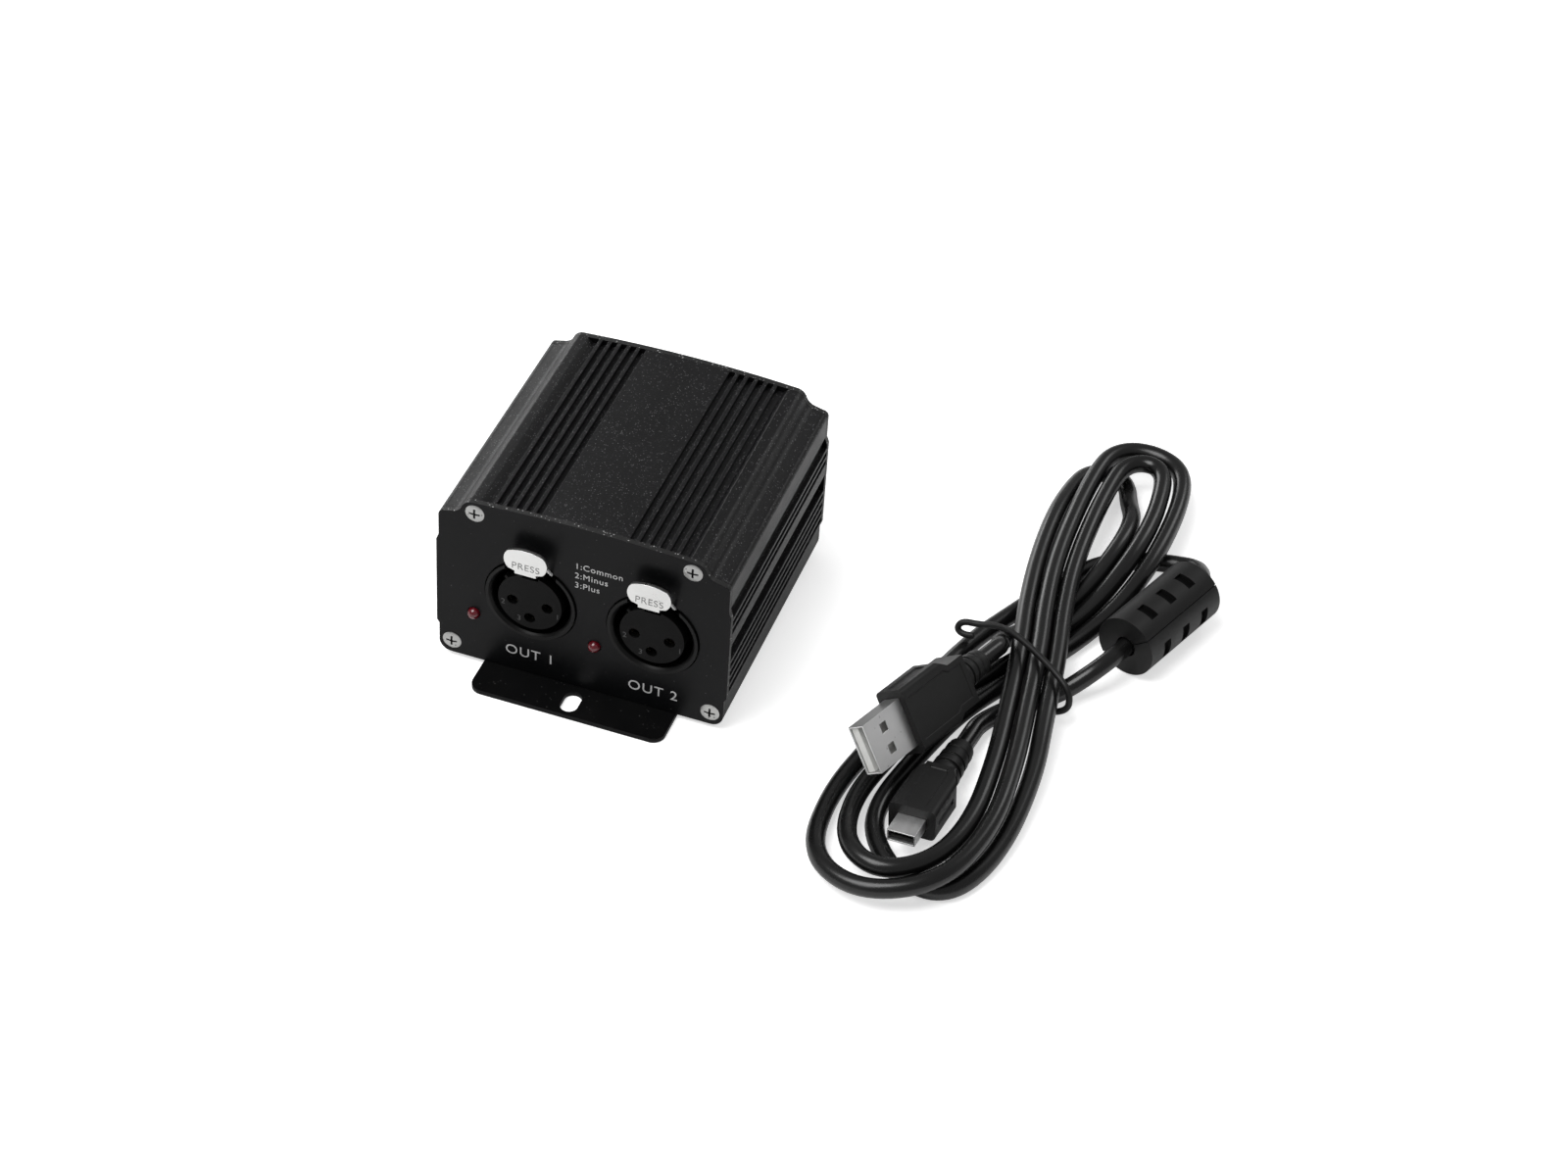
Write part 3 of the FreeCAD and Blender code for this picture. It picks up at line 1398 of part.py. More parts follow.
def plug_block(name, width, height, front, length, middle=0):
    """A block across a plug's axis, from a place behind its open end."""
    return block(name, width, length, height, (-width / 2, front, middle - height / 2))


def moved(item, origin, turns):
    item.Placement = FreeCAD.Placement(origin, turned(turns))
    return item


def make_relief(name, front, length):
    """A ringed sleeve that narrows towards the cord."""
    pitch = length / relief_ring_count
    items = [cone(f"{name}_relief_core", relief_root_radius - relief_ring_depth,
                  relief_tip_radius, length, (0, front, 0), Y_AXIS)]
    narrowing = (relief_root_radius - relief_tip_radius) / relief_ring_count
    for index in range(relief_ring_count):
        items.append(cylinder(f"{name}_relief_ring_{index}", relief_root_radius - index * narrowing,
                              pitch * relief_ring_share, (0, front + index * pitch, 0), Y_AXIS))
    return fused(f"{name}_relief_whole", items)


def make_plug(name, measures, origin, turns):
    """A plug from its open end to the cord, which leaves it along its own axis."""
    (width, height, length, root_length, thickness, tongue_height, setback,
     body_width, body_height, body_length, body_round, shoulder_start, shoulder_run, shoulder_inset,
     relief_length) = measures
    whole = length + root_length
    tools = [plug_block(f"{name}_mouth", width - 2 * thickness, height - 2 * thickness, -overrun,
                        whole + 2 * overrun)]
    if name == "host":
        for end in (-1, 1):
            tools.append(block(f"{name}_window_{end + 1}", host_window_width, host_window_width,
                               host_shell_height, (end * host_window_spread - host_window_width / 2,
                                                   host_window_depth, height / 2 - 2 * thickness)))
    shell = cut(f"{name}_shell", plug_block(f"{name}_sheet", width, height, 0, whole), tools)
    node(moved(shell, origin, turns), f"{name}_plug_shell")
    inner_width = width - 2 * (thickness + tongue_gap)
    inner_height = height - 2 * (thickness + tongue_gap)
    tongue = fused(f"{name}_tongue_whole", [
        plug_block(f"{name}_tongue", inner_width, tongue_height, setback, whole - setback,
                   (tongue_height - inner_height) / 2),
        plug_block(f"{name}_tongue_root", inner_width, inner_height, length, root_length)])
    node(moved(tongue, origin, turns), f"{name}_plug_tongue")
    bar = extruded(f"{name}_bar", [rounded_outline(body_width, body_height, body_round)], "XZ_Plane",
                   body_length, (0, length + body_length / 2, 0))
    plan = Outline([(body_width / 2, length)])
    plan.line_to(body_width / 2, length + shoulder_start)
    plan.line_to(body_width / 2 - shoulder_inset, length + shoulder_start + shoulder_run)
    plan.line_to(body_width / 2 - shoulder_inset, length + body_length)
    mould = shared(f"{name}_mould", [bar, extruded(f"{name}_plan", [plan.mirrored()], "XY_Plane", body_height)])
    pocket = plug_block(f"{name}_pocket", width + 2 * tongue_gap, height + 2 * tongue_gap,
                        length - overrun, root_length + overrun + tongue_gap)
    node(moved(cut(f"{name}_body", mould, [pocket]), origin, turns), f"{name}_plug_body")
    relief = make_relief(name, length + body_length, relief_length)
    node(moved(relief, origin, turns), f"{name}_plug_relief")


def make_plugs():
    host_length = number(host_shell_length + host_body_length + host_relief_length)
    host_tip = HOST_RELIEF_END - turned(HOST_TURNS).multVec(Y_AXIS) * host_length
    make_plug("host", (host_shell_width, host_shell_height, host_shell_length, host_shell_root,
                       host_shell_wall, host_tongue_height, host_tongue_setback, host_body_width,
                       host_body_height, host_body_length, host_body_round, host_shoulder_start,
                       host_shoulder_run, host_shoulder_inset, host_relief_length),
              host_tip, HOST_TURNS)
    make_plug("device", (device_shell_width, device_shell_height, device_shell_length, device_shell_root,
                         device_shell_wall, device_tongue_height, device_tongue_setback, device_body_width,
                         device_body_height, device_body_length, device_body_round, device_shoulder_start,
                         device_shoulder_run, device_shoulder_inset, device_relief_length),
              DEVICE_TIP, DEVICE_TURNS)


def ferrite_window(name, turn, index):
    """A pocket cut into the case at a turn about its axis from the half's middle."""
    across = math.cos(math.radians(turn))
    aside = math.sin(math.radians(turn))
    reach = ferrite_radius - ferrite_window_depth
    pocket = block(name, ferrite_window_width, ferrite_window_length, ferrite_window_depth + overrun, (0, 0, 0))
    return place(pocket, (reach * aside - ferrite_window_width / 2 * across,
                          index * ferrite_window_pitch - ferrite_window_length / 2,
                          reach * across + ferrite_window_width / 2 * aside), FreeCAD.Rotation(Y_AXIS, turn))


def ferrite_half(side):
    """Half of the ferrite's case, with its pocket for the core and its windows."""
    name = f"ferrite_{side + 1}"
    length = ferrite_length
    shell = cylinder(f"{name}_outside", ferrite_radius, length, (0, -length / 2, 0), Y_AXIS)
    low = ferrite_seam / 2 if side > 0 else -(ferrite_seam / 2 + ferrite_radius)
    half = block(f"{name}_half", 2 * ferrite_radius, length, ferrite_radius,
                 (-ferrite_radius, -length / 2, low))
    room = length - 2 * ferrite_wall
    tools = [cylinder(f"{name}_room", ferrite_radius - ferrite_wall, room, (0, -room / 2, 0), Y_AXIS),
             cylinder(f"{name}_bore", cord_radius + ferrite_hole_gap, length + 2 * overrun,
                      (0, -length / 2 - overrun, 0), Y_AXIS)]
    middle_turn = 0 if side > 0 else 180
    for row in (-1, 1):
        turn = middle_turn + row * WINDOW_TURN
        for index in (-1, 0, 1):
            tools.append(ferrite_window(f"{name}_window_{row + 1}_{index + 1}", turn, index))
    return cut(f"{name}_case", shared(f"{name}_common", [shell, half]), tools)


def make_ferrite():
    turns = (FERRITE_TURN, 0, FERRITE_ROLL)
    node(moved(ferrite_half(1), FERRITE_MIDDLE, turns), "ferrite_case_upper")
    node(moved(ferrite_half(-1), FERRITE_MIDDLE, turns), "ferrite_case_lower")
    core_length = ferrite_length - 2 * (ferrite_wall + ferrite_core_gap)
    ring = cut("core_ring", cylinder("core_outside", ferrite_radius - ferrite_wall - ferrite_core_gap,
                                     core_length, (0, -core_length / 2, 0), Y_AXIS),
               [cylinder("core_bore", cord_radius + ferrite_hole_gap, core_length + 2 * overrun,
                         (0, -core_length / 2 - overrun, 0), Y_AXIS)])
    node(moved(ring, FERRITE_MIDDLE, turns), "ferrite_core")


def make_lead():
    make_hank()
    make_device_lead()
    make_plugs()
    make_ferrite()
    make_tie()


def export():
    """Check every object, then write each sub-part to its own file."""
    doc.recompute()
    for item in doc.Objects:
        if "Invalid" in item.State or "Error" in item.State:
            raise RuntimeError(f"{item.Name} did not build: {item.State}")
    os.makedirs("parts", exist_ok=True)
    for item in nodes:
        shape = item.Shape
        if shape.isNull() or not shape.isValid():
            raise RuntimeError(f"{item.Label} has no valid shape")
        shape.exportStep(f"parts/{item.Label}.step")
        box = shape.BoundBox
        print(f"{item.Label}: {len(shape.Solids)} solids, {shape.Volume:.1f} mm3, "
              f"x {box.XMin:.2f} {box.XMax:.2f}, y {box.YMin:.2f} {box.YMax:.2f}, z {box.ZMin:.2f} {box.ZMax:.2f}")


make_box()
make_lead()
export()
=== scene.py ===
import math

import bpy
from mathutils import Matrix, Vector


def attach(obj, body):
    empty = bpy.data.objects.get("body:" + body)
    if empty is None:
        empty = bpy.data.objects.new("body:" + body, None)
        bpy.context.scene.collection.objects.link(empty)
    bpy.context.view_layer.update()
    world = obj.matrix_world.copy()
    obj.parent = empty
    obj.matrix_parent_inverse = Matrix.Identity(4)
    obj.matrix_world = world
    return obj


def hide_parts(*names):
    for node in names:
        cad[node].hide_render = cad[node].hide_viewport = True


# Looks of a stage-lighting interface box, with its tied USB lead beside it.
# X runs to the right of the box, Y from its front to its rear, Z up from the table.
# Blender counts in metres. The sizes and places named below are in millimetres, apart from
# those of the camera, the table and the lights.

MM = 0.001
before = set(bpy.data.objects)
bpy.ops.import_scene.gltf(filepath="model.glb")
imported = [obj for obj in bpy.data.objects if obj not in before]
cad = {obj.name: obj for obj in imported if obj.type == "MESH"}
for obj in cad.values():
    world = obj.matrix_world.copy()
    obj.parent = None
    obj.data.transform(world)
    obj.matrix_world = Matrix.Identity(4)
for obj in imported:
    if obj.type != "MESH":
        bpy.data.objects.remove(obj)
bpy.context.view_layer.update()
bpy.ops.object.select_all(action="DESELECT")


# Camera, table and light, in metres

CAMERA_PLACE = (0.2184, -0.6127, 0.5781)
CAMERA_RIGHT = Vector((0.9427, 0.3288, 0.0553))
CAMERA_UP = Vector((-0.2569, 0.6105, 0.7492))
CAMERA_LENS = 83.07
CAMERA_SENSOR = 36
CAMERA_NEAREST = 0.01

TABLE_SIDE = 6
TABLE_TOP = -0.0001
TABLE_GLOW = 0.12
TABLE_GLOW_SEEN = 0.45
ROOM_LIGHT = 0.3
ROOM_SEEN = 1.1
WHITE = (1, 1, 1, 1)

# Each softbox: its name, its place, the spot that it is aimed at, its width, height and watts
SOFTBOXES = (
    ("key_softbox", (-0.35, -0.35, 1.1), (0.03, 0, 0.02), 0.8, 0.8, 12),
    ("low_back_softbox", (-0.95, 0.95, 0.34), (0, 0, 0.04), 0.7, 0.4, 3.5),
    ("high_back_softbox", (0.5, 0.9, 0.75), (0.05, 0, 0.03), 0.35, 0.5, 1.5),
)


def add_camera():
    """A camera at the photograph's place, turned to the photograph's right and up."""
    bpy.ops.object.camera_add()
    camera = bpy.context.object
    camera.name = "camera"
    back = CAMERA_RIGHT.cross(CAMERA_UP)
    turn = Matrix((CAMERA_RIGHT, CAMERA_UP, back)).transposed().to_4x4()
    camera.matrix_world = Matrix.Translation(CAMERA_PLACE) @ turn
    camera.data.lens = CAMERA_LENS
    camera.data.sensor_width = CAMERA_SENSOR
    camera.data.clip_start = CAMERA_NEAREST
    bpy.context.scene.camera = camera
    camera.select_set(False)


def add_table():
    """A matt pale table that looks evenly lit, and still takes soft shadows."""
    bpy.ops.mesh.primitive_plane_add(size=TABLE_SIDE, location=(0, 0, TABLE_TOP))
    table = bpy.context.object
    table.name = "table"
    pale, tree, shader = new_material("pale_table")
    set_sockets(shader, Base_Color=(0.92, 0.92, 0.92, 1), Roughness=0.9, Specular_IOR_Level=0.2,
                Emission_Color=WHITE)
    seen = tree.nodes.new("ShaderNodeLightPath").outputs["Is Camera Ray"]
    glow = math_node(tree, "MULTIPLY_ADD", seen, TABLE_GLOW_SEEN, TABLE_GLOW)
    tree.links.new(glow, shader.inputs["Emission Strength"])
    table.data.materials.append(pale)
    table.select_set(False)


def add_softbox(name, place, aim, width, height, watts):
    """A flat rectangular lamp that faces the spot that it is aimed at."""
    bpy.ops.object.light_add(type="AREA", location=place)
    light = bpy.context.object
    light.name = name
    light.data.shape = "RECTANGLE"
    light.data.size = width
    light.data.size_y = height
    light.data.energy = watts
    light.rotation_euler = (Vector(aim) - Vector(place)).to_track_quat("-Z", "Y").to_euler()
    light.select_set(False)


def add_daylight():
    """A dim even room that itself looks white, like a sheet lit from behind."""
    world = bpy.data.worlds.new("white_room")
    world.use_nodes = True
    tree = world.node_tree
    dim = tree.nodes["Background"]
    set_sockets(dim, Color=WHITE, Strength=ROOM_LIGHT)
    bright = tree.nodes.new("ShaderNodeBackground")
    set_sockets(bright, Strength=ROOM_SEEN)
    seen = tree.nodes.new("ShaderNodeLightPath")
    mix = tree.nodes.new("ShaderNodeMixShader")
    tree.links.new(seen.outputs["Is Camera Ray"], mix.inputs["Fac"])
    tree.links.new(dim.outputs["Background"], mix.inputs[1])
    tree.links.new(bright.outputs["Background"], mix.inputs[2])
    tree.links.new(mix.outputs["Shader"], tree.nodes["World Output"].inputs["Surface"])
    bpy.context.scene.world = world
    bpy.context.scene.view_settings.view_transform = "Standard"


# Node helpers

# The sockets of a Mix node that mixes colours
MIX_FIRST = 6
MIX_SECOND = 7
MIX_RESULT = 2


def new_material(name):
    """An empty material, with its node tree and its surface shader."""
    item = bpy.data.materials.new(name)
    item.use_nodes = True
    return item, item.node_tree, item.node_tree.nodes["Principled BSDF"]


def set_sockets(node, **values):
    """Set a node's sockets, each named by its label with underscores for spaces."""
    for label, value in values.items():
        node.inputs[label.replace("_", " ")].default_value = value


def feed(tree, socket, value):
    """Set a socket to a number or a colour, or link another node's output to it."""
    if isinstance(value, (int, float)):
        socket.default_value = value
    elif isinstance(value, tuple):
        socket.default_value = (*value, 1)
    else:
        tree.links.new(value, socket)


def math_node(tree, operation, *values):
    """The result of one sum on numbers or other nodes' outputs."""
    item = tree.nodes.new("ShaderNodeMath")
    item.operation = operation
    for socket, value in zip(item.inputs, values):
        feed(tree, socket, value)
    return item.outputs[0]


def ramp_between(tree, value, low, high):
    """The share of the way from low to high, held between nought and one."""
    item = tree.nodes.new("ShaderNodeMapRange")
    feed(tree, item.inputs["Value"], value)
    feed(tree, item.inputs["From Min"], low)
    feed(tree, item.inputs["From Max"], high)
    return item.outputs["Result"]


def noise(tree, place, scale, detail):
    """Soft cloudy noise between nought and one."""
    item = tree.nodes.new("ShaderNodeTexNoise")
    set_sockets(item, Detail=detail)
    feed(tree, item.inputs["Vector"], place)
    feed(tree, item.inputs["Scale"], scale)
    return item.outputs["Fac"]


def object_place(tree):
    """The point's own place on the piece, which moves with the piece."""
    return tree.nodes.new("ShaderNodeTexCoord").outputs["Object"]


def mixed_color(tree, share, first, second):
    """A share of the way from the first colour to the second."""
    item = tree.nodes.new("ShaderNodeMix")
    item.data_type = "RGBA"
    feed(tree, item.inputs["Factor"], share)
    feed(tree, item.inputs[MIX_FIRST], first)
    feed(tree, item.inputs[MIX_SECOND], second)
    return item.outputs[MIX_RESULT]


def group_node(tree, group, values):
    """A shared effect placed in a material, with the values that are its own there."""
    item = tree.nodes.new("ShaderNodeGroup")
    item.node_tree = group
    set_sockets(item, **values)
    return item


# Effects that the finishes share

SPECK_REACH = 0.32
GRAIN_DETAIL = 3
CLOUD_SCALE = 38
CLOUD_DETAIL = 4

STREAK_DETAIL = 5
STREAK_BASE = 0.78
STREAK_FULL = 0.85
SMUDGE_SCALE = 90
SMUDGE_DETAIL = 3


def new_group(name, inputs, outputs):
    """An empty node group with number inputs and their defaults, and number outputs."""
    group = bpy.data.node_groups.new(name, "ShaderNodeTree")
    kind = "NodeSocketFloat"
    for label, value in inputs.items():
        group.interface.new_socket(label, in_out="INPUT", socket_type=kind).default_value = value
    for label in outputs:
        group.interface.new_socket(label, in_out="OUTPUT", socket_type=kind)
    return group, group.nodes.new("NodeGroupInput"), group.nodes.new("NodeGroupOutput")


def make_grit():
    """A fine grain, sparse specks and a slow cloudiness, for blasted and coated metal. Specks
    lighter than their finish are painted glints, and darker ones are real pits.
    """
    group, start, end = new_group(
        "grit", {"Grain Scale": 3500, "Speck Scale": 1500, "Speck Share": 0.06},
        ("Height", "Specks", "Cloud"))
    place = object_place(group)
    grain = noise(group, place, start.outputs["Grain Scale"], GRAIN_DETAIL)
    cells = group.nodes.new("ShaderNodeTexVoronoi")
    feed(group, cells.inputs["Vector"], place)
    feed(group, cells.inputs["Scale"], start.outputs["Speck Scale"])
    shade = group.nodes.new("ShaderNodeSeparateColor")
    feed(group, shade.inputs["Color"], cells.outputs["Color"])
    chosen = math_node(group, "LESS_THAN", shade.outputs["Red"], start.outputs["Speck Share"])
    near = math_node(group, "LESS_THAN", cells.outputs["Distance"], SPECK_REACH)
    specks = math_node(group, "MULTIPLY", chosen, near)
    strength = math_node(group, "MULTIPLY", specks, shade.outputs["Green"])
    cloud = noise(group, place, CLOUD_SCALE, CLOUD_DETAIL)
    feed(group, end.inputs["Height"], grain)
    feed(group, end.inputs["Specks"], strength)
    feed(group, end.inputs["Cloud"], cloud)
    return group


def make_scuffs():
    """Faint streaks and rubbed patches, for handled surfaces."""
    group, start, end = new_group(
        "scuffs", {"Scale": 260, "Share": 0.35, "Stretch": 0.06}, ("Mask", "Smudge"))
    place = object_place(group)
    stretch = group.nodes.new("ShaderNodeCombineXYZ")
    set_sockets(stretch, X=1, Z=1)
    feed(group, stretch.inputs["Y"], start.outputs["Stretch"])
    scaled = group.nodes.new("ShaderNodeVectorMath")
    scaled.operation = "MULTIPLY"
    feed(group, scaled.inputs[0], place)
    feed(group, scaled.inputs[1], stretch.outputs["Vector"])
    streak = noise(group, scaled.outputs["Vector"], start.outputs["Scale"], STREAK_DETAIL)
    low = math_node(group, "SUBTRACT", STREAK_BASE, start.outputs["Share"])
    mask = ramp_between(group, streak, low, STREAK_FULL)
    smudge = noise(group, place, SMUDGE_SCALE, SMUDGE_DETAIL)
    feed(group, end.inputs["Mask"], mask)
    feed(group, end.inputs["Smudge"], smudge)
    return group


GRIT = make_grit()
SCUFFS = make_scuffs()


# Finishes

# The range that the slow noises mostly fill, and how far scuffs change colour and roughness
NOISE_LOW = 0.3
NOISE_HIGH = 0.7
SCUFF_COLOR = 0.35
SCUFF_ROUGHNESS = 0.08

LENS_CLOUD_SCALE = 700
LENS_CLOUD_DETAIL = 2
LENS_DEEP = (0.045, 0.0012, 0.004)
LENS_PALE = (0.15, 0.004, 0.011)


def finish_material(name, dark, light, rough, metallic=0.0, specular=0.5, coat=0.0, bump=0.1,
                    relief=0.05, speck=(0.5, 0.5, 0.5), grit=None, scuff=None):
    """A surface that drifts between two tones and two roughnesses, with grain, specks and scuffs.

    bump is how strongly the grain shows, and relief its height.
    """
    item, tree, shader = new_material(name)
    set_sockets(shader, Metallic=metallic, Coat_Weight=coat, Specular_IOR_Level=specular)
    grit_node = group_node(tree, GRIT, grit or {})
    scuff_node = group_node(tree, SCUFFS, scuff or {})
    scuffs = scuff_node.outputs["Mask"]

    drift = ramp_between(tree, grit_node.outputs["Cloud"], NOISE_LOW, NOISE_HIGH)
    color = mixed_color(tree, drift, dark, light)
    # Specks lighter than the finish are painted glints; darker ones are real pits.
    color = mixed_color(tree, grit_node.outputs["Specks"], color, speck)
    worn = math_node(tree, "MULTIPLY", scuffs, SCUFF_COLOR)
    feed(tree, shader.inputs["Base Color"], mixed_color(tree, worn, color, light))

    smooth, dull = rough
    spread = ramp_between(tree, scuff_node.outputs["Smudge"], NOISE_LOW, NOISE_HIGH)
    base = math_node(tree, "MULTIPLY_ADD", spread, dull - smooth, smooth)
    final = math_node(tree, "MULTIPLY_ADD", scuffs, SCUFF_ROUGHNESS, base)
    feed(tree, shader.inputs["Roughness"], final)

    grain = tree.nodes.new("ShaderNodeBump")
    set_sockets(grain, Strength=bump, Distance=relief * MM)
    feed(tree, grain.inputs["Height"], grit_node.outputs["Height"])
    feed(tree, shader.inputs["Normal"], grain.outputs["Normal"])
    return item


def make_red_lens():
    """Translucent red resin, darker in its depth."""
    item, tree, shader = new_material("red_lens")
    shade = noise(tree, object_place(tree), LENS_CLOUD_SCALE, LENS_CLOUD_DETAIL)
    feed(tree, shader.inputs["Base Color"], mixed_color(tree, shade, LENS_DEEP, LENS_PALE))
    set_sockets(shader, Roughness=0.12, Coat_Weight=0.5, Subsurface_Weight=0.2,
                Subsurface_Radius=(0.001, 0.0002, 0.0002), Subsurface_Scale=0.6)
    return item


def grey(value):
    return (value, value, value)


NO_SPECKS = dict(Speck_Share=0.0)

FINISHES = {
    # Box
    # The light specks on the black finishes below are painted glints.
    "anodised_black": dict(
        dark=(0.003, 0.003, 0.0033), light=(0.006, 0.006, 0.0066), rough=(0.39, 0.45),
        specular=0.27, bump=0.75, speck=(0.13, 0.13, 0.134), scuff=dict(Share=0.2),
        grit=dict(Grain_Scale=2300, Speck_Scale=2500, Speck_Share=0.3)),
    "coated_plate": dict(
        dark=(0.0022, 0.0022, 0.0025), light=(0.004, 0.004, 0.0045), rough=(0.30, 0.38),
        specular=0.125, bump=0.2, relief=0.04, speck=grey(0.06),
        grit=dict(Grain_Scale=1900, Speck_Scale=2200, Speck_Share=0.025)),
    # The plates' rough cut edge, painted lighter as a highlight
    "cut_edge_painted_highlight": dict(
        dark=grey(0.006), light=grey(0.02), rough=(0.4, 0.5), specular=0.3, bump=0.8,
        relief=0.08, grit=dict(Grain_Scale=1500, Speck_Scale=1900, Speck_Share=0.34)),
    "coated_bracket": dict(
        dark=(0.002, 0.002, 0.0022), light=grey(0.004), rough=(0.34, 0.44), specular=0.1,
        bump=0.2, speck=grey(0.07),
        grit=dict(Grain_Scale=2000, Speck_Scale=2200, Speck_Share=0.03)),
    "screw_nickel": dict(
        dark=(0.30, 0.30, 0.295), light=(0.52, 0.52, 0.51), rough=(0.28, 0.44), metallic=1.0,
        bump=0.3, speck=grey(0.12), grit=dict(Speck_Share=0.14),
        scuff=dict(Scale=1500, Share=0.5, Stretch=1.0)),
    # Painted shade for the screws' cross recesses
    "screw_recess_shade": dict(
        dark=grey(0.03), light=grey(0.09), rough=(0.45, 0.6), metallic=1.0, bump=0.3),
    "black_zinc": dict(dark=grey(0.02), light=grey(0.04), rough=(0.35, 0.45), metallic=1.0),
    "silver_ink": dict(
        dark=grey(0.42), light=grey(0.54), rough=(0.5, 0.6), specular=0.2, grit=NO_SPECKS),
    # Sockets and their latches
    "socket_plastic": dict(
        dark=grey(0.002), light=grey(0.004), rough=(0.34, 0.44), specular=0.17, bump=0.12,
        grit=dict(Grain_Scale=1500, Speck_Share=0.0)),
    "insert_plastic": dict(
        dark=grey(0.0015), light=grey(0.003), rough=(0.42, 0.52), specular=0.1, bump=0.2,
        grit=dict(Grain_Scale=1500, Speck_Share=0.0)),
    # The moulded figures on the inserts, painted lighter as a highlight
    "insert_figures_highlight": dict(
        dark=grey(0.04), light=grey(0.06), rough=(0.4, 0.5), specular=0.3, grit=NO_SPECKS),
    "contact_alloy": dict(
        dark=(0.16, 0.14, 0.10), light=(0.26, 0.23, 0.17), rough=(0.25, 0.35), metallic=1.0),
    "bright_nickel": dict(
        dark=(0.62, 0.62, 0.61), light=(0.80, 0.80, 0.79), rough=(0.24, 0.36), metallic=1.0,
        bump=0.05, speck=grey(0.4), grit=dict(Speck_Share=0.02),
        scuff=dict(Scale=900, Share=0.45, Stretch=0.3)),
    # The word stamped into each tab, dark with painted shade
    "stamped_mark_shade": dict(
        dark=grey(0.16), light=grey(0.24), rough=(0.45, 0.55), metallic=1.0, bump=0.05,
        grit=NO_SPECKS),
    "plain_steel": dict(
        dark=(0.42, 0.42, 0.41), light=(0.56, 0.56, 0.55), rough=(0.25, 0.35), metallic=1.0),
    "spring_wire": dict(
        dark=grey(0.72), light=grey(0.82), rough=(0.38, 0.48), metallic=0.4, bump=0.05),
    # Board
    "board_mask": dict(
        dark=(0.006, 0.05, 0.02), light=(0.01, 0.08, 0.035), rough=(0.25, 0.35), coat=0.3),
    "moulded_chip": dict(dark=grey(0.015), light=grey(0.03), rough=(0.5, 0.6), bump=0.2),
    "shrunk_sleeve": dict(
        dark=(0.01, 0.01, 0.03), light=(0.02, 0.02, 0.05), rough=(0.2, 0.3), coat=0.2),
    "tinned_wire": dict(dark=grey(0.55), light=grey(0.68), rough=(0.3, 0.4), metallic=1.0),
    # Lead
    "cord_jacket": dict(
        dark=grey(0.003), light=grey(0.006), rough=(0.22, 0.30), bump=0.06,
        grit=dict(Grain_Scale=900, Speck_Share=0.0)),
    "moulded_black": dict(
        dark=grey(0.004), light=grey(0.008), rough=(0.42, 0.52), specular=0.35, bump=0.35,
        grit=dict(Grain_Scale=2200, Speck_Share=0.0)),
    # Painted shade for the ferrite case's windows
    "window_painted_shade": dict(
        dark=grey(0.0012), light=grey(0.002), rough=(0.6, 0.7), specular=0.08, bump=0.2,
        grit=NO_SPECKS),
    "ferrite_grey": dict(
        dark=(0.03, 0.03, 0.032), light=(0.05, 0.05, 0.052), rough=(0.5, 0.7), bump=0.5),
    "can_steel": dict(
        dark=grey(0.63), light=grey(0.83), rough=(0.30, 0.42), metallic=1.0, bump=0.06,
        scuff=dict(Scale=700, Share=0.5, Stretch=0.2)),
    "tongue_white": dict(dark=(0.62, 0.62, 0.6), light=(0.72, 0.72, 0.7), rough=(0.4, 0.5)),
}
materials = {name: finish_material(name, **values) for name, values in FINISHES.items()}
materials["red_lens"] = make_red_lens()

# Each finish and the solids that have it
FINISH_NODES = {
    "anodised_black": ("housing_upper", "housing_lower"),
    "coated_plate": ("front_plate", "rear_plate"),
    "screw_nickel": ("front_plate_screws", "rear_plate_screws"),
    "coated_bracket": ("mounting_bracket",),
    "black_zinc": ("bracket_screws",),
    "board_mask": ("circuit_board",),
    "moulded_chip": ("controller_chip", "usb_bridge_chip", "line_drivers", "isolators",
                     "resistors"),
    "shrunk_sleeve": ("capacitors",),
    "tinned_wire": ("lamp_leads",),
    "red_lens": ("lamp_a", "lamp_b"),
    "socket_plastic": ("socket_a_housing", "socket_b_housing", "lamp_holders",
                       "usb_jack_tongue", "device_plug_tongue"),
    "insert_plastic": ("socket_a_insert", "socket_b_insert"),
    "contact_alloy": ("socket_a_contacts", "socket_b_contacts", "usb_jack_contacts"),
    "bright_nickel": ("latch_a", "latch_b"),
    "plain_steel": ("latch_a_pin", "latch_b_pin"),
    "spring_wire": ("latch_a_spring", "latch_b_spring"),
    "can_steel": ("usb_jack_shell", "crystal", "host_plug_shell", "device_plug_shell"),
    "cord_jacket": ("cable_hank", "cable_device_lead"),
    "tongue_white": ("host_plug_tongue",),
    "moulded_black": ("host_plug_body", "host_plug_relief", "device_plug_body",
                      "device_plug_relief", "ferrite_case_upper", "ferrite_case_lower",
                      "cable_tie"),
    "ferrite_grey": ("ferrite_core",),
}
NODE_FINISH = {node: finish for finish, nodes in FINISH_NODES.items() for node in nodes}


def dress_cad_nodes():
    """Give every solid its finish, also those that finished pieces stand for."""
    for name, item in cad.items():
        item.data.materials.clear()
        item.data.materials.append(materials[NODE_FINISH[name]])


# Finished copies of the solids

# How near two corners are merged, and how nearly level two faces are joined
MERGE_REACH = 0.002
LEVEL_ANGLE = 0.5
# Edges sharper than the first angle are rounded, and those under the second are shaded smooth
SHARP_ANGLE = 32
SMOOTH_ANGLE = 35
FACE_WEIGHT = 90

LATCHES = ("latch_a", "latch_b")

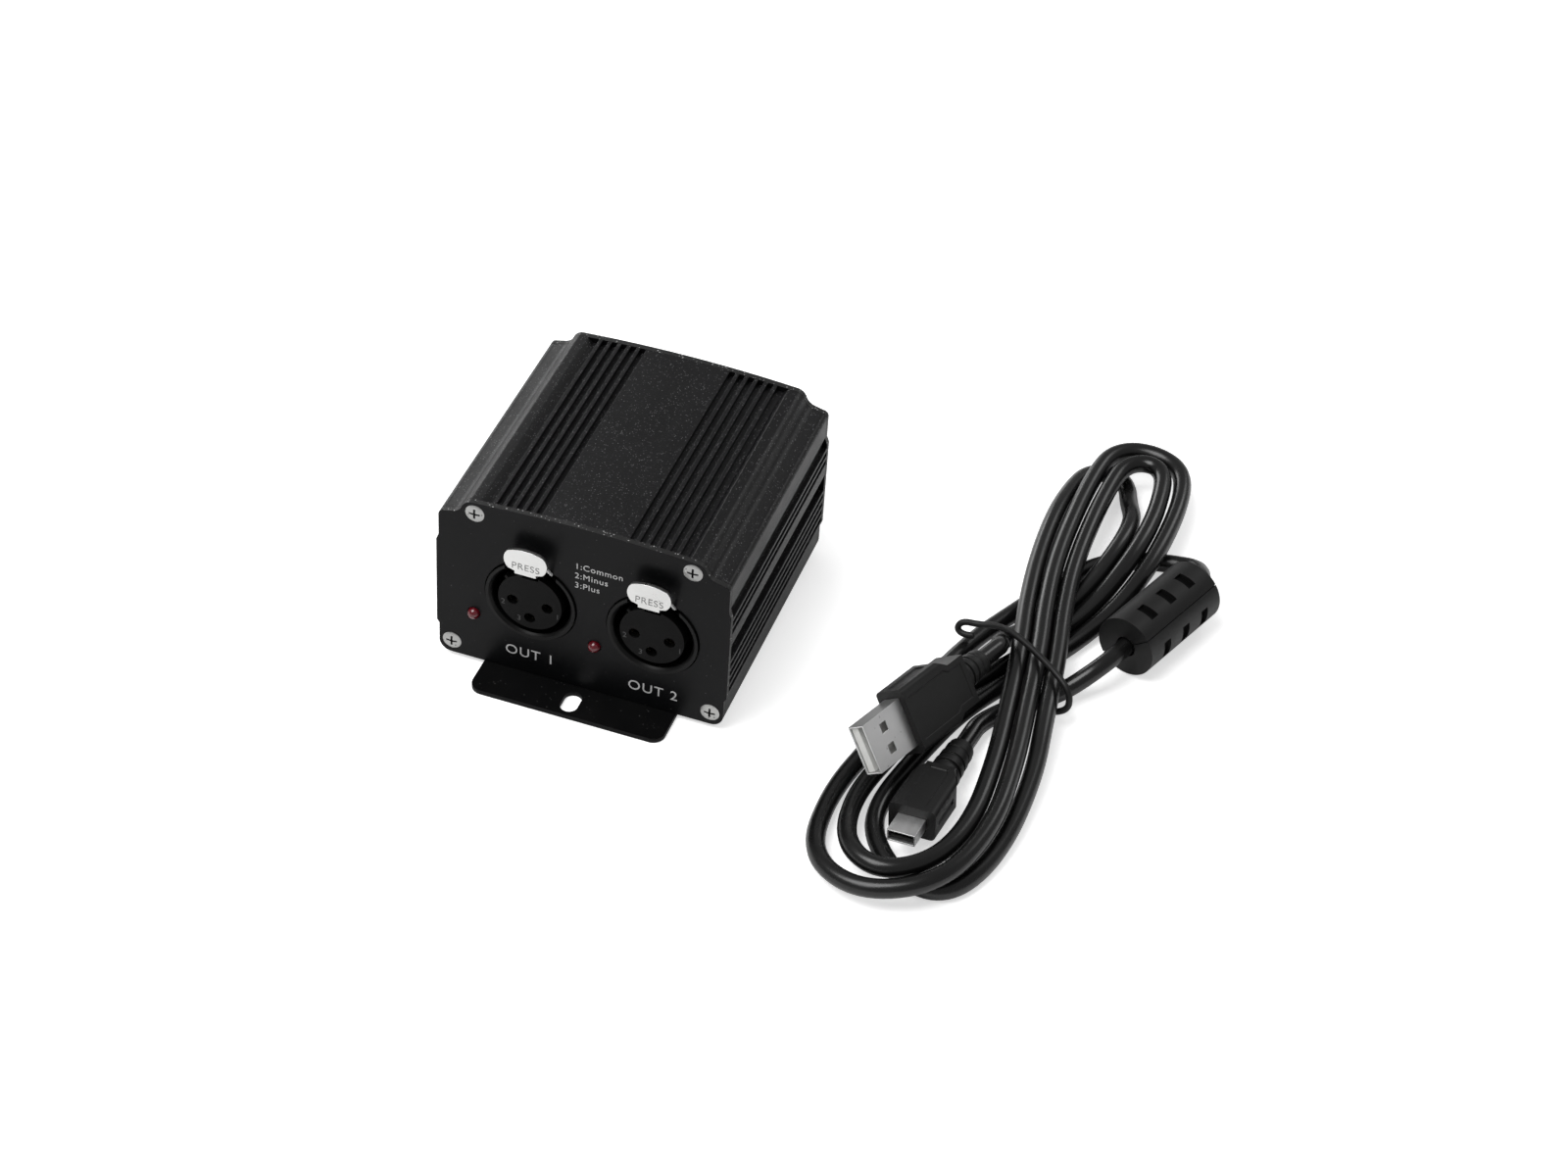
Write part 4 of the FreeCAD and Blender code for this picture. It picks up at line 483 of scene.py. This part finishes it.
# Each solid that only has its edges rounded, and by how much
ROUNDED = (
    ("housing_upper", 0.1), ("housing_lower", 0.1), ("mounting_bracket", 0.16),
    ("socket_a_housing", 0.12), ("socket_b_housing", 0.12),
    ("socket_a_insert", 0.14), ("socket_b_insert", 0.14), ("latch_a", 0.26), ("latch_b", 0.26),
    ("lamp_a", 0.05), ("lamp_b", 0.05), ("usb_jack_shell", 0.05), ("usb_jack_tongue", 0.08),
)


def take(item, name, finish):
    """Name a new piece and give it its finish."""
    item.name = name
    item.data.name = name
    item.data.materials.clear()
    item.data.materials.append(materials[finish])


def start_copy(node):
    """A merged copy of a rigid node, as the start of a finished piece."""
    item = bpy.data.objects.new(f"{node}_edged", cad[node].data.copy())
    bpy.context.scene.collection.objects.link(item)
    bpy.context.view_layer.objects.active = item
    item.select_set(True)
    bpy.ops.object.mode_set(mode="EDIT")
    bpy.ops.mesh.select_all(action="SELECT")
    bpy.ops.mesh.remove_doubles(threshold=MERGE_REACH * MM)
    bpy.ops.mesh.dissolve_limited(angle_limit=math.radians(LEVEL_ANGLE))
    bpy.ops.object.mode_set(mode="OBJECT")
    return item


def round_edges(item, width, segments=2, angle=SHARP_ANGLE):
    """Round a copy's sharp edges, and let its large faces keep their flat shading."""
    bevel = item.modifiers.new("edges", "BEVEL")
    bevel.width = width * MM
    bevel.segments = segments
    bevel.limit_method = "ANGLE"
    bevel.angle_limit = math.radians(angle)
    bpy.ops.object.modifier_apply(modifier=bevel.name)
    bpy.ops.object.shade_smooth_by_angle(angle=math.radians(SMOOTH_ANGLE))
    shading = item.modifiers.new("shading", "WEIGHTED_NORMAL")
    shading.keep_sharp = True
    shading.weight = FACE_WEIGHT
    bpy.ops.object.modifier_apply(modifier=shading.name)


def set_in_place(item, node):
    """Give a copy its node's finish, and let it ride and stand in for the node."""
    take(item, f"{node}_edged", NODE_FINISH[node])
    item.select_set(False)
    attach(item, node if node in LATCHES else "box")
    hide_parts(node)


def edged_copy(node, width):
    """A copy of a rigid node with its edges rounded, in place of the node."""
    item = start_copy(node)
    round_edges(item, width)
    set_in_place(item, node)
    return item


def face_finish(item, finish, wanted):
    """Give the wanted faces of a piece a second finish."""
    item.data.materials.append(materials[finish])
    for face in item.data.polygons:
        face.material_index = 1 if wanted(face) else 0


# End plates and their screws

PLATE_EDGE = 0.16
# Faces of the plates beyond these are their cut outer edge, painted lighter as a highlight
CUT_SIDE = 35.4
CUT_TOP = 40.5
CUT_FOOT = 1.4
CUT_LEAN = 0.3

SCREW_EDGE = 0.07
SCREW_PLACES = ((26.4, 45.5), (32.2, 4.8))
RECESS_REACH = 1.5
RECESS_DEPTH = 0.2


def end_plate(node):
    """An end plate with softened edges, and round its outside a rough, speckled cut edge painted
    lighter as a highlight.
    """
    def cut(face):
        place = face.center / MM
        outside = abs(place.x) > CUT_SIDE or place.z > CUT_TOP or place.z < CUT_FOOT
        return outside and abs(face.normal.y) < CUT_LEAN

    face_finish(edged_copy(node, PLATE_EDGE), "cut_edge_painted_highlight", cut)


def end_screws(node):
    """An end plate's four screws, with dull cross recesses darkened by painted shade."""
    item = edged_copy(node, SCREW_EDGE)
    top = max(abs(corner[1]) for corner in item.bound_box) / MM
    spots = [(side * across, height) for side in (-1, 1) for across, height in SCREW_PLACES]

    def sunk(face):
        place = face.center / MM
        near = min(math.hypot(place.x - x, place.z - z) for x, z in spots)
        return near < RECESS_REACH and abs(place.y) < top - RECESS_DEPTH

    # The recess faces take painted shade.
    face_finish(item, "screw_recess_shade", sunk)


# Lettering

CAPITAL_SHARE = 0.7
INK_THICKNESS = 0.03

# The depths of the plate, the tabs and the inserts where the letters lie
PLATE_FACE = -34.52
TAB_FACE = -38.215
INSERT_FACE = -35.115
SOCKET_MIDDLES = {"a": -12.5, "b": 17.5}

LEGEND = ("1:Common", "2:Minus", "3:Plus")
LEGEND_HEIGHT = 1.65
LEGEND_LEFT = -1.85
LEGEND_TOP = 37.45
LEGEND_STEP = 2.83
NAMES = (("name_a", "OUT 1", -18.75, 5.9), ("name_b", "OUT 2", 11.85, 5.4))
NAME_HEIGHT = 2.75
PLATE_SPACING = 1.12
PRESS_HEIGHT = 1.85
PRESS_PLACE = (0.1, 35.95)
PRESS_WEIGHT = -0.03
PRESS_SPACING = 1.06
# The contacts' figures, each with its place across from the socket's middle and its height
FIGURES = (("1", 6.9, 20.9), ("2", -6.6, 21.4), ("3", -2.6, 17.6))
FIGURE_HEIGHT = 1.5


def lettering(name, words, height, place, finish="silver_ink", body="box",
              align="LEFT", weight=0.0, spacing=1.05):
    """Thin letters that stand upright and face the front: the legends are printed, the tabs'
    words carry painted shade and the contacts' figures a painted highlight.
    """
    bpy.ops.object.text_add()
    text = bpy.context.object.data
    text.body = words
    text.size = height * MM / CAPITAL_SHARE
    text.extrude = INK_THICKNESS * MM
    text.offset = weight * MM
    text.align_x = align
    text.space_character = spacing
    bpy.ops.object.convert(target="MESH")
    item = bpy.context.object
    item.data.transform(Matrix.Rotation(math.radians(90), 4, "X"))
    item.data.transform(Matrix.Translation([value * MM for value in place]))
    take(item, name, finish)
    item.select_set(False)
    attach(item, body)


def add_front_lettering():
    """The contact list and the outputs' names, the word on each tab and the contacts' figures."""
    for index, words in enumerate(LEGEND):
        lettering(f"legend_{index}", words, LEGEND_HEIGHT,
                  (LEGEND_LEFT, PLATE_FACE, LEGEND_TOP - LEGEND_STEP * index),
                  spacing=PLATE_SPACING)
    for name, words, left, foot in NAMES:
        lettering(name, words, NAME_HEIGHT, (left, PLATE_FACE, foot), spacing=PLATE_SPACING)
    for side, middle in SOCKET_MIDDLES.items():
        latch = f"latch_{side}"
        shift, foot = PRESS_PLACE
        # Each tab's stamped word is dark with painted shade.
        lettering(f"press_{side}", "PRESS", PRESS_HEIGHT, (middle + shift, TAB_FACE, foot),
                  "stamped_mark_shade", latch, "CENTER", PRESS_WEIGHT, PRESS_SPACING)
        # Each insert's moulded figures are painted lighter as a highlight.
        for figure, across, foot in FIGURES:
            lettering(f"figure_{side}_{figure}", figure, FIGURE_HEIGHT,
                      (middle + across, INSERT_FACE, foot), "insert_figures_highlight",
                      align="CENTER")


# The USB lead

CORD_RADIUS = 2.25
TIE_RADIUS = 0.8

# Heights of the cord's middle line: on the table, and in the hank's upper layer
FLOOR = CORD_RADIUS
UPPER = 7.3

# The hank's stations in order, each with the places of its three turns:
# X, Y and the share of the way up from FLOOR to UPPER
TURN_STATIONS = (
    ((80.6, 15.5, 0), (99.4, 15.5, 0), (94.0, 15.5, 0)),
    ((74.3, -6.5, 0), (86.2, -6.5, 0), (80.3, -6.5, 0)),
    ((69.8, -26.5, 0), (80.6, -26.5, 0), (75.2, -26.5, 0)),
    ((65.6, -46.5, 0), (76.7, -45.5, 0), (71.3, -46.5, 0.3)),
    ((67.6, -67.5, 0.2), (79.2, -56.4, 0), (74.4, -64.1, 0.85)),
    ((82.0, -76.0, 0.5), (89.0, -66.7, 0), (84.5, -70.6, 1)),
    ((98.8, -68.7, 1), (100.5, -67.1, 0), (94.9, -63.4, 1)),
    ((104.3, -48.5, 1), (107.1, -50.5, 0), (99.6, -48.5, 1)),
    ((103.2, -26.5, 1.1), (107.9, -26.5, 0.45), (98.6, -26.5, 1)),
    ((100.7, -8.5, 1.18), (105.2, -8.5, 1), (96.2, -8.5, 1)),
    ((97.9, 11.5, 1.18), (102.4, 11.5, 1), (93.4, 11.5, 1)),
    ((94.7, 27.5, 1.18), (99.2, 27.5, 1), (90.2, 27.5, 1)),
    ((92.3, 45.5, 1.18), (96.8, 45.5, 1), (87.8, 45.5, 1)),
    ((91.8, 67.0, 1.1), (96.4, 66.0, 1), (87.0, 64.5, 0.9)),
    ((92.4, 83.0, 1), (97.2, 80.5, 1.05), (87.9, 79.5, 0.35)),
    ((94.1, 90.4, 1), (98.5, 86.0, 1.12), (89.2, 85.4, 0.1)),
    ((98.8, 94.4, 1), (101.7, 89.2, 1.15), (92.3, 88.6, 0)),
    ((106.0, 94.6, 1), (105.8, 89.2, 1.18), (96.8, 88.6, 0)),
    ((111.7, 91.1, 1), (108.6, 85.9, 1.18), (100.2, 85.4, 0)),
    ((114.3, 84.2, 1), (109.8, 79.8, 1.18), (102.0, 79.2, 0.12)),
    ((115.2, 72.0, 1), (110.6, 68.5, 1.18), (105.9, 68.0, 0.9)),
    ((114.2, 53.5, 1), (109.5, 53.5, 1.15), (104.9, 53.5, 1)),
    ((110.1, 38.5, 0.3), (104.9, 38.5, 0.25), (99.6, 38.5, 0)),
    ((105.1, 27.5, 0), (99.9, 27.5, 0), (94.4, 27.5, 0)),
)
TURNS = 3
DEVICE_ROUTE = ((97.5, -1.5, FLOOR), (105.2, 5.3, FLOOR))
HANK_START = (
    (125.3, 59.3, 4.8), (118.8, 61.5, FLOOR), (110.8, 59.7, FLOOR), (103.0, 55.7, FLOOR),
    (96.3, 47.5, FLOOR), (91.2, 37.5, FLOOR), (86.3, 27.5, FLOOR),
)
HANK_END = ((88.5, 19.2, 2.9), (87.9, 12.7, 6.8))
TIE_ROUTE = (
    (81.4, 12.8, 6.4), (79.0, 12.8, 5.7), (76.9, 13.4, 6.7), (78.0, 14.0, 8.9),
    (82.0, 14.4, 8.8), (86.5, 14.2, 10.3), (91.5, 11.2, 11.9), (98.6, 6.4, 12.0),
    (105.8, 1.0, 11.3), (109.0, -1.2, 9.2), (109.0, -2.2, 4.4), (105.2, -2.6, 3.7),
)

# Places of the plugs and the ferrite, with their bearing, pitch and roll in degrees
HOST_RELIEF_END = Vector((86.6, -1.3, 11.8))
HOST_TURNS = (18.0, -6.0, 54.0)
HOST_LENGTH = 46.0
DEVICE_TIP = Vector((86.1, -58.5, 6.9))
DEVICE_TURNS = (5.5, -5.0, -6.0)
DEVICE_LENGTH = 36.0
FERRITE_MIDDLE = Vector((121.2, 34.5, 7.85))
FERRITE_TURNS = (20.67, 0, 0)

# How far along each of them the cord's straight stretches reach
DEVICE_REACHES = (0.0, 5.0, 11.5)
FERRITE_REACHES = (-23.4, -12.0, 10.0, 18.0)
HOST_REACHES = (9.0, 4.5, 0.0)

# Faces of the ferrite's case nearer to its middle than these lie in its windows, which take
# painted shade
WINDOW_RADIUS = 7.2
WINDOW_REACH = 12.5
FERRITE_EDGE = 0.3

# Each plug's moulding: its node, the rounding of its edges, and the borders of the sunk fields
# on its broad faces and on its sides
MOULDINGS = (("host_plug_body", 0.35, 1.4, 1.3), ("device_plug_body", 0.5, 1.6, 1.8))
MOULD_SEGMENTS = 3
MOULD_ANGLE = 40
BROAD_DEPTH = 0.22
SIDE_DEPTH = 0.3
FIELD_SLOPE = 0.2
ACROSS_X = 0
ACROSS_Z = 2
# How square to an axis a face is to count as flat, and how large beside the largest one
FLAT_SHARE = 0.99
LARGE_SHARE = 0.8

# The other solids on the cord, and the rounding of their edges
LEAD_EDGES = (
    ("host_plug_shell", 0.14), ("host_plug_tongue", 0.08), ("host_plug_relief", 0.18),
    ("device_plug_shell", 0.1), ("device_plug_tongue", 0.06), ("device_plug_relief", 0.25),
)


def turned(turns):
    """The turning of a piece from its bearing, its pitch and its roll in degrees."""
    bearing, pitch, roll = (math.radians(angle) for angle in turns)
    return (Matrix.Rotation(-bearing, 3, "Z") @ Matrix.Rotation(pitch, 3, "X")
            @ Matrix.Rotation(roll, 3, "Y"))


def along(turns):
    """The direction of a turned piece's own Y, which runs along the cord."""
    return turned(turns) @ Vector((0, 1, 0))


def pose(origin, turns):
    """Where a piece's own frame lies."""
    return Matrix.Translation(origin * MM) @ turned(turns).to_4x4()


def plug_pose(node):
    """Where a plug's own frame lies, with Y from its open end to its cord."""
    if node.startswith("host"):
        return pose(HOST_RELIEF_END - along(HOST_TURNS) * HOST_LENGTH, HOST_TURNS)
    return pose(DEVICE_TIP, DEVICE_TURNS)


def select_faces(item, wanted):
    """Go into edit mode with only the wanted faces selected."""
    bpy.context.tool_settings.mesh_select_mode = (False, False, True)
    for part in (item.data.vertices, item.data.edges, item.data.polygons):
        part.foreach_set("select", [False] * len(part))
    for face in item.data.polygons:
        face.select = wanted(face)
    bpy.ops.object.mode_set(mode="EDIT")


def sink_field(item, axis, border, depth):
    """A shallow sunk field on the largest flat faces across an axis."""
    def flat(face):
        return abs(face.normal[axis]) > FLAT_SHARE

    broad = max(face.area for face in item.data.polygons if flat(face))
    select_faces(item, lambda face: flat(face) and face.area > LARGE_SHARE * broad)
    bpy.ops.mesh.inset(thickness=border * MM, depth=0)
    bpy.ops.mesh.inset(thickness=FIELD_SLOPE * MM, depth=-depth * MM)
    bpy.ops.object.mode_set(mode="OBJECT")


def mould(node, width, border, side_border):
    """A plug's moulding with softened edges and shallow sunk fields on its faces."""
    item = start_copy(node)
    item.data.transform(plug_pose(node).inverted())
    sink_field(item, ACROSS_Z, border, BROAD_DEPTH)
    sink_field(item, ACROSS_X, side_border, SIDE_DEPTH)
    round_edges(item, width, MOULD_SEGMENTS, MOULD_ANGLE)
    item.data.transform(plug_pose(node))
    set_in_place(item, node)
    return item


def ferrite_case(node):
    """Half of the ferrite's case, with painted shade darkening its windows."""
    item = edged_copy(node, FERRITE_EDGE)
    to_middle = pose(FERRITE_MIDDLE, FERRITE_TURNS).inverted()

    def sunk(face):
        spot = to_middle @ face.center / MM
        return math.hypot(spot.x, spot.z) < WINDOW_RADIUS and abs(spot.y) < WINDOW_REACH

    face_finish(item, "window_painted_shade", sunk)
    return item


def curve_piece(name, points, radius, finish):
    """A round cord along one smooth open spline."""
    data = bpy.data.curves.new(name, "CURVE")
    data.dimensions = "3D"
    spline = data.splines.new("NURBS")
    spline.points.add(len(points) - 1)
    for spot, point in zip(spline.points, points):
        spot.co = (*(value * MM for value in point), 1)
    spline.order_u = 3
    spline.use_endpoint_u = True
    spline.resolution_u = 10
    data.bevel_depth = radius * MM
    data.bevel_resolution = 5
    data.use_fill_caps = True
    item = bpy.data.objects.new(name, data)
    bpy.context.scene.collection.objects.link(item)
    data.materials.append(materials[finish])
    return item


def cord_points():
    """The cord's route, from the device plug by the ferrite and the hank to the host plug."""
    device_end = DEVICE_TIP + along(DEVICE_TURNS) * DEVICE_LENGTH
    points = [device_end + along(DEVICE_TURNS) * reach for reach in DEVICE_REACHES]
    points += [Vector(point) for point in DEVICE_ROUTE]
    points += [FERRITE_MIDDLE + along(FERRITE_TURNS) * reach for reach in FERRITE_REACHES]
    points += [Vector(point) for point in HANK_START]
    for turn in range(TURNS):
        for station in TURN_STATIONS:
            x, y, share = station[turn]
            points.append(Vector((x, y, FLOOR + share * (UPPER - FLOOR))))
    points += [Vector(point) for point in HANK_END]
    points += [HOST_RELIEF_END + along(HOST_TURNS) * reach for reach in HOST_REACHES]
    return points


def add_lead():
    """The cord, its wire tie, its ferrite and its two plugs."""
    points = cord_points()
    cord = curve_piece("usb_cord", points, CORD_RADIUS, "cord_jacket")
    tie = curve_piece("wire_tie", TIE_ROUTE, TIE_RADIUS, "moulded_black")
    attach(cord, "box")
    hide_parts("cable_hank", "cable_device_lead")
    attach(tie, "box")
    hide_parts("cable_tie")
    on_cord = [tie, cad["ferrite_core"]]
    on_cord += [ferrite_case("ferrite_case_upper"), ferrite_case("ferrite_case_lower")]
    on_cord += [mould(*moulding) for moulding in MOULDINGS]
    on_cord += [edged_copy(node, width) for node, width in LEAD_EDGES]


add_camera()
add_daylight()
add_table()
for softbox in SOFTBOXES:
    add_softbox(*softbox)
dress_cad_nodes()
add_lead()

for end in ("front", "rear"):
    end_plate(f"{end}_plate")
for end in ("front", "rear"):
    end_screws(f"{end}_plate_screws")
for node, width in ROUNDED:
    edged_copy(node, width)
add_front_lettering()
